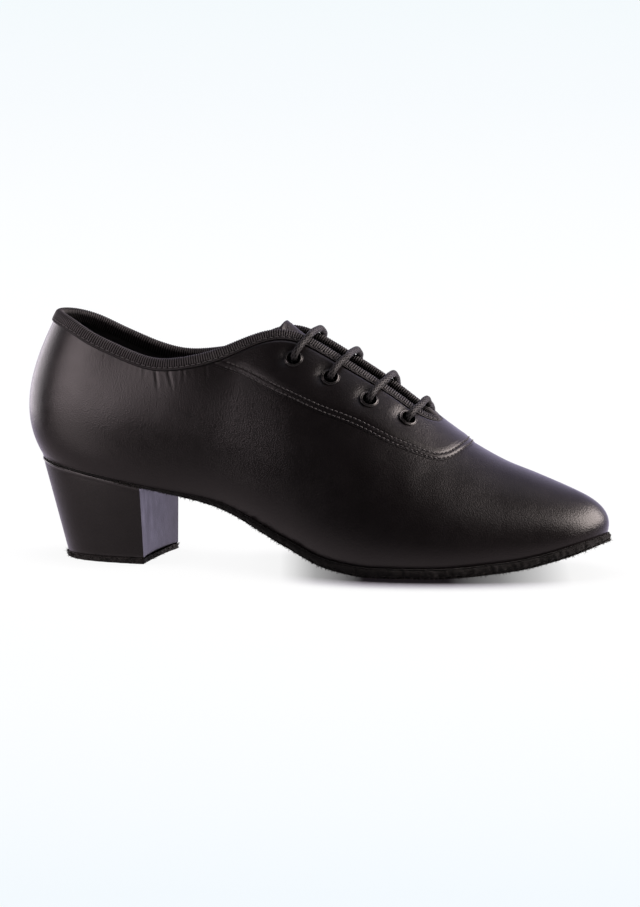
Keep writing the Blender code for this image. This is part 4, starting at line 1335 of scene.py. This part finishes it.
def suede_fibres():
    """Stray fibres that stand off the edges of the sole and of the lift."""
    draw = np.random.default_rng(SEED + 1)
    count, lift_count = FIBRE_COUNTS
    ways = draw.uniform(0.19, 1.0, count) * draw.choice((-1, 1), count)
    foot = OUTLINE(ways)
    out = outward(ways)
    x = foot[:, 0]
    share = draw.uniform(0.0, 1.0, count) ** 0.35
    edge = foot + out * (sole_size("welt", x) - 0.0003)[:, None]
    z = sole_top(x) - (sole_top(x) - sole_size("bottom", x) - tip_rise(edge[:, 0])) * share
    ring = heel_outline(1.0)
    picks = draw.integers(0, len(ring), lift_count)
    away = unit(ring - ring.mean(axis=0))[picks]
    lift_z = draw.uniform(0.0002, LIFT, lift_count)
    lift_edge = ring[picks] + 0.0001 * away
    roots = np.concatenate([np.column_stack([edge, z]), np.column_stack([lift_edge, lift_z])])
    droop = np.repeat((-0.70, -0.1), FIBRE_COUNTS)
    outs = np.column_stack([np.concatenate([out, away]), droop])
    outs = unit(outs + draw.normal(scale=0.55, size=outs.shape))
    length = draw.uniform(*FIBRE_LENGTH, len(roots))
    length = length * np.where(draw.uniform(size=len(roots)) < 0.05, 1.7, 1.0)
    curl = draw.normal(scale=0.5, size=outs.shape)
    rings, sides = 4, 3
    steps = np.linspace(0, 1, rings)
    path = roots[:, None] + length[:, None, None] * (
        outs[:, None] * steps[None, :, None] + curl[:, None] * (steps**2)[None, :, None] * 0.6
    )
    path[..., 2] = np.maximum(path[..., 2], 0.00005)
    side = unit(np.cross(outs, draw.normal(size=outs.shape)))
    thick = FIBRE_RADIUS * (1 - 0.85 * steps)
    round_it = circles(side, np.cross(outs, side), sides)
    grid = path[:, :, None] + round_it[:, None] * thick[None, :, None, None]
    faces = tube_faces(len(roots), rings, sides)
    return make_piece("suede_fibres", grid, faces, (FIBRE,), "suede", weld=1e-9)


def eyelet_pieces():
    """Turned eyelets: a rolled flange with a groove, a bright inner lip and a barrel."""
    seat = FACING_LIFT + FACING + GAP
    foot = -WALL - GAP
    lip = EYELET_LIP
    section = (
        (EYELET_HOLE, foot),
        (EYELET_HOLE, seat - 0.4 * lip),
        (EYELET_HOLE + 0.00006, seat + 0.5 * lip),
        (EYELET_HOLE + 0.00018, seat + 1.05 * lip),
        (EYELET_HOLE + 0.00036, seat + 1.25 * lip),
        (EYELET_HOLE + 0.00054, seat + 1.10 * lip),
        (EYELET_HOLE + 0.00070, seat + 0.70 * lip),
        (EYELET_HOLE + 0.00086, seat + 0.62 * lip),
        (EYELET_HOLE + 0.00100, seat + 0.80 * lip),
        (EYELET_FLANGE - 0.00018, seat + 0.85 * lip),
        (EYELET_FLANGE - 0.00005, seat + 0.60 * lip),
        (EYELET_FLANGE, seat + 0.25 * lip),
        (EYELET_FLANGE - 0.00008, seat - 0.3 * lip),
        (EYELET_BARREL, seat - 0.3 * lip),
        (EYELET_BARREL, foot),
    )
    profile = np.array(section)
    for name, way, height in eyelet_places():
        centre = surface(way, height)
        out = normal(way, height)
        centre = centre + out * RING_DROP * mound_relief(centre)
        side = unit(np.cross(out, np.array((0.0, 0.0, 1.0))))
        circle = circles(side, np.cross(out, side), 64)
        grid = centre + circle[:, None] * profile[None, :, :1] + out * profile[None, :, 1:]
        faces = grid_faces(*grid.shape[:2], ring=True, tube=True)
        make_piece(f"{name}_ring", grid, faces, (METAL,), "metal", (f"eyelet_{name}",), sharp=60)


def bar_route(index):
    """Middle line of a lace bar from inside one eyelet, over the throat, to inside the other."""
    shares = np.array(BAR_SHARES)
    ends = []
    for sign, skew, side in ((1, 0.0, "outer"), (-1, EYELET_SKEW, "inner")):
        ways = sign * (EYELETS["way"][index] + skew + BAR_SLANT[side] * shares)
        low = EYELETS["height"][index] + LACE_OFFSET
        heights = low + (line_height(TOP_LINE, ways) - low) * shares
        lifts = np.array(LACE_LIFTS[side])
        ends.append(surface(ways, heights) + normal(ways, heights) * lifts[:, None])
    near, far = ends[0][-1], ends[1][-1]
    arch = [near + (far - near) * share + np.array((0.0, 0.0, rise)) for share, rise in LACE_ARCH]
    return np.concatenate([ends[0], arch, ends[1][::-1]])


def inside_point(way, height, depth):
    return surface(way, height) - normal(way, height) * depth


def even_path(corners, spacing):
    """Points at even distances on a smooth curve through corners, and their distances along it."""
    corners = np.asarray(corners)
    lengths = path_lengths(corners)
    fine = np.linspace(0, lengths[-1], len(corners) * 24)
    curve = np.stack([smooth(lengths, corners[:, i], fine) for i in range(3)], axis=1)
    kernel = np.hanning(27)
    kernel = kernel / kernel.sum()
    padded = np.pad(curve, ((13, 13), (0, 0)), mode="edge")
    curve = np.stack([np.convolve(padded[:, i], kernel, mode="valid") for i in range(3)], axis=1)
    lengths = path_lengths(curve)
    places = np.arange(0, lengths[-1], spacing)
    return along_path(places, lengths, curve), places


def braided_tube(corners, radius, sides=28, spacing=0.00022):
    """A round braided cord along a route: yarns crossing in two directions, with painted shade in the gaps
    between them.
    """
    middle, places = even_path(corners, spacing)
    tangent = unit(np.gradient(middle, axis=0))
    side = unit(np.cross(tangent[0], np.array((0.0, 0.0, 1.0))))
    across = []
    for direction in tangent:
        side = unit(side - direction * np.dot(side, direction))
        across.append(side)
    across = np.array(across)
    angle = np.linspace(0, 2 * math.pi, sides, endpoint=False)
    turn = places[:, None] / YARN_TURN * 2 * math.pi
    one = np.cos(YARNS * (angle[None] - turn / YARNS * YARN_SLANT))
    two = np.cos(YARNS * (angle[None] + turn / YARNS * YARN_SLANT))
    weave = np.maximum(one, two)
    # painted shade: dark in the gaps between the crossing yarns, light on their crests
    shades = np.clip(0.5 + 0.5 * weave, 0, 1) ** 1.5
    end = np.clip(np.minimum(places, places[-1] - places) / CORD_END, 0, 1)
    thick = radius * (0.93 + YARN_RELIEF * weave) * np.sqrt(1 - (1 - end[:, None]) ** 2 * 0.9)
    grid = middle[:, None] + circles(across, np.cross(tangent, across), sides) * thick[..., None]
    return grid.reshape(-1, 3), tube_faces(1, len(middle), sides), shades


def lace_pieces():
    """The four bars, and the runs of the lace inside from eyelet to eyelet."""
    ends = {}
    for i, (way, height) in enumerate(zip(EYELETS["way"], EYELETS["height"])):
        for side, sign, skew in EYELET_SIDES:
            ends[side, i] = (sign * (way + skew), height + LACE_OFFSET)
    for i in range(len(EYELETS["way"])):
        start = [inside_point(*ends["lateral", i], depth) for depth in LACE_DEPTHS]
        finish = [inside_point(*ends["medial", i], depth) for depth in LACE_DEPTHS[::-1]]
        corners = np.concatenate([start, bar_route(i), finish])
        points, faces, shades = braided_tube(corners, LACE_SHARE * LACE_RADIUS)
        name = f"lace_over_{i + 1}"
        make_piece(name, points, faces, (BRAID,), "cord", (f"lace_bar_{i + 1}",), weld=1e-9, relief=shades)
    shares = np.linspace(0, 1, 9)
    sag = np.sin(shares * math.pi)
    for side, start, finish in LACE_RUNS:
        way_a, height_a = ends[side, start]
        way_b, height_b = ends[side, finish]
        ways = way_a + (way_b - way_a) * shares
        heights = height_a + (height_b - height_a) * shares - RUN_SAG * sag
        corners = inside_point(ways, heights, (LACE_DEPTHS[0] + RUN_DIP * sag)[:, None])
        points, faces, shades = braided_tube(corners, RUN_RADIUS, sides=16, spacing=0.0005)
        name = f"lace_inside_{side}_{start + 1}_{finish + 1}"
        make_piece(name, points, faces, (BRAID,), "cord", weld=1e-9, relief=shades)


def dress_insole():
    """The footbed keeps its solid and gets its nap."""
    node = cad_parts["insole"]
    node.data.materials.clear()
    node.data.materials.append(FOOTBED)


def stage_floor():
    """A pale sweep that glows rather than being lit, white by the shoe as a painted pool of light, with a
    painted soft shadow only where something stands on it.
    """
    mesh = bpy.data.meshes.new("floor")
    reach = 14.0
    corners = [(-reach, -reach, 0), (reach, -reach, 0), (reach, reach, 0), (-reach, reach, 0)]
    mesh.from_pydata(corners, [], [(0, 1, 2, 3)])
    material, tree, shader = node_tree("floor_white")
    shader.inputs["Base Color"].default_value = (0.02, 0.02, 0.02, 1.0)
    shader.inputs["Roughness"].default_value = 0.9
    shader.inputs["Specular IOR Level"].default_value = 0.0
    shader.inputs["Emission Strength"].default_value = 1.0
    place = add_node(tree, "ShaderNodeTexCoord", name="place")
    turn = add_node(tree, "ShaderNodeMapping")
    turn.inputs["Rotation"].default_value = (0.0, 0.0, -CAMERA_AZIMUTH)
    tree.links.new(place.outputs["Object"], turn.inputs["Vector"])
    parts = tree.nodes.new("ShaderNodeSeparateXYZ")
    tree.links.new(turn.outputs["Vector"], parts.inputs["Vector"])
    # Painted pool of light: the floor's glow is whitest by the shoe and turns pale blue nearer and farther
    # away
    sweep = ramp(tree, spread(tree, parts.outputs["Y"], *SWEEP_SPAN), SWEEP)
    # Painted contact shadow: the glow is darkened where the floor is occluded close by, weighted along X by
    # SHADOW_DEPTHS
    close = add_node(tree, "ShaderNodeAmbientOcclusion", Distance=0.034, samples=12)
    shade = ramp(tree, close.outputs["AO"], PAINTED_CONTACT_SHADOW)
    depths = [(place, grey(depth)) for place, depth in SHADOW_DEPTHS]
    weight = ramp(tree, spread(tree, parts.outputs["X"], *SHADOW_SPAN), depths)
    blend = blend_colours(tree, "MULTIPLY", sweep, shade, weight)
    tree.links.new(blend, shader.inputs["Emission Color"])
    mesh.materials.append(material)
    floor = bpy.data.objects.new("floor", mesh)
    floor.location.z = -0.0002
    floor.visible_glossy = False
    bpy.context.scene.collection.objects.link(floor)


def soft_light(name, place, aim, size, radiance, colour):
    """A rectangular soft box at a place, turned to a point, with a brightness of its own face."""
    light = bpy.data.lights.new(name, "AREA")
    light.shape = "RECTANGLE"
    light.size, light.size_y = size
    light.energy = radiance * math.pi * size[0] * size[1]
    light.color = colour
    lamp = bpy.data.objects.new(name, light)
    lamp.location = place
    lamp.rotation_euler = (Vector(aim) - Vector(place)).to_track_quat("-Z", "Y").to_euler()
    lamp.visible_camera = False
    bpy.context.scene.collection.objects.link(lamp)


def stage_world():
    """A dark room in front of the shoe, a white sweep behind it and a grey one below."""
    world = bpy.data.worlds.new("studio")
    world.use_nodes = True
    tree = world.node_tree
    place = add_node(tree, "ShaderNodeTexCoord")
    parts = tree.nodes.new("ShaderNodeSeparateXYZ")
    tree.links.new(place.outputs["Generated"], parts.inputs["Vector"])
    behind = ramp(tree, spread(tree, parts.outputs["Y"], -1.0, 1.0), ROOM_BEHIND)
    below = ramp(tree, spread(tree, parts.outputs["Z"], -1.0, 1.0), ROOM_BELOW)
    both = blend_colours(tree, "ADD", behind, below)
    tree.links.new(both, tree.nodes["Background"].inputs["Color"])
    bpy.context.scene.world = world


def stage_lights():
    """Soft boxes by the heel, the toe, the vamp, overhead and behind the heel."""
    for name, settings in LIGHTS.items():
        soft_light(name, *settings)


def stage_camera():
    """The photo's view: a long lens, a little from the toe's side and a little above."""
    elevation = math.radians(7.6)
    distance = 2.2
    metres_per_pixel = 0.000444
    picture_height = 907
    sensor = 36.0
    target = Vector((0.1325 - CENTRE[0], -CENTRE[1], 0.0494))
    away = Vector(
        (
            math.sin(CAMERA_AZIMUTH) * math.cos(elevation),
            -math.cos(CAMERA_AZIMUTH) * math.cos(elevation),
            math.sin(elevation),
        )
    )
    lens = bpy.data.cameras.new("photo_view")
    lens.sensor_fit = "AUTO"
    lens.sensor_width = sensor
    lens.lens = sensor * distance / metres_per_pixel / picture_height
    camera = bpy.data.objects.new("photo_view", lens)
    camera.location = target + away * distance
    camera.rotation_euler = away.to_track_quat("Z", "Y").to_euler()
    bpy.context.scene.collection.objects.link(camera)
    bpy.context.scene.camera = camera


def main():
    stage_camera()
    stage_world()
    stage_lights()
    stage_floor()
    cutters = eyelet_cutters()
    cut_holes(upper_piece(), cutters)
    cut_holes(facing_piece(), cutters)
    binding_piece()
    tape_stitches()
    seam_stitches()
    tongue_piece()
    tongue_stitches()
    outsole_piece()
    heel_piece()
    lift_piece()
    suede_fibres()
    eyelet_pieces()
    lace_pieces()
    dress_insole()
    bpy.data.objects.remove(cutters)
    bpy.context.scene.view_settings.view_transform = "Standard"


main()
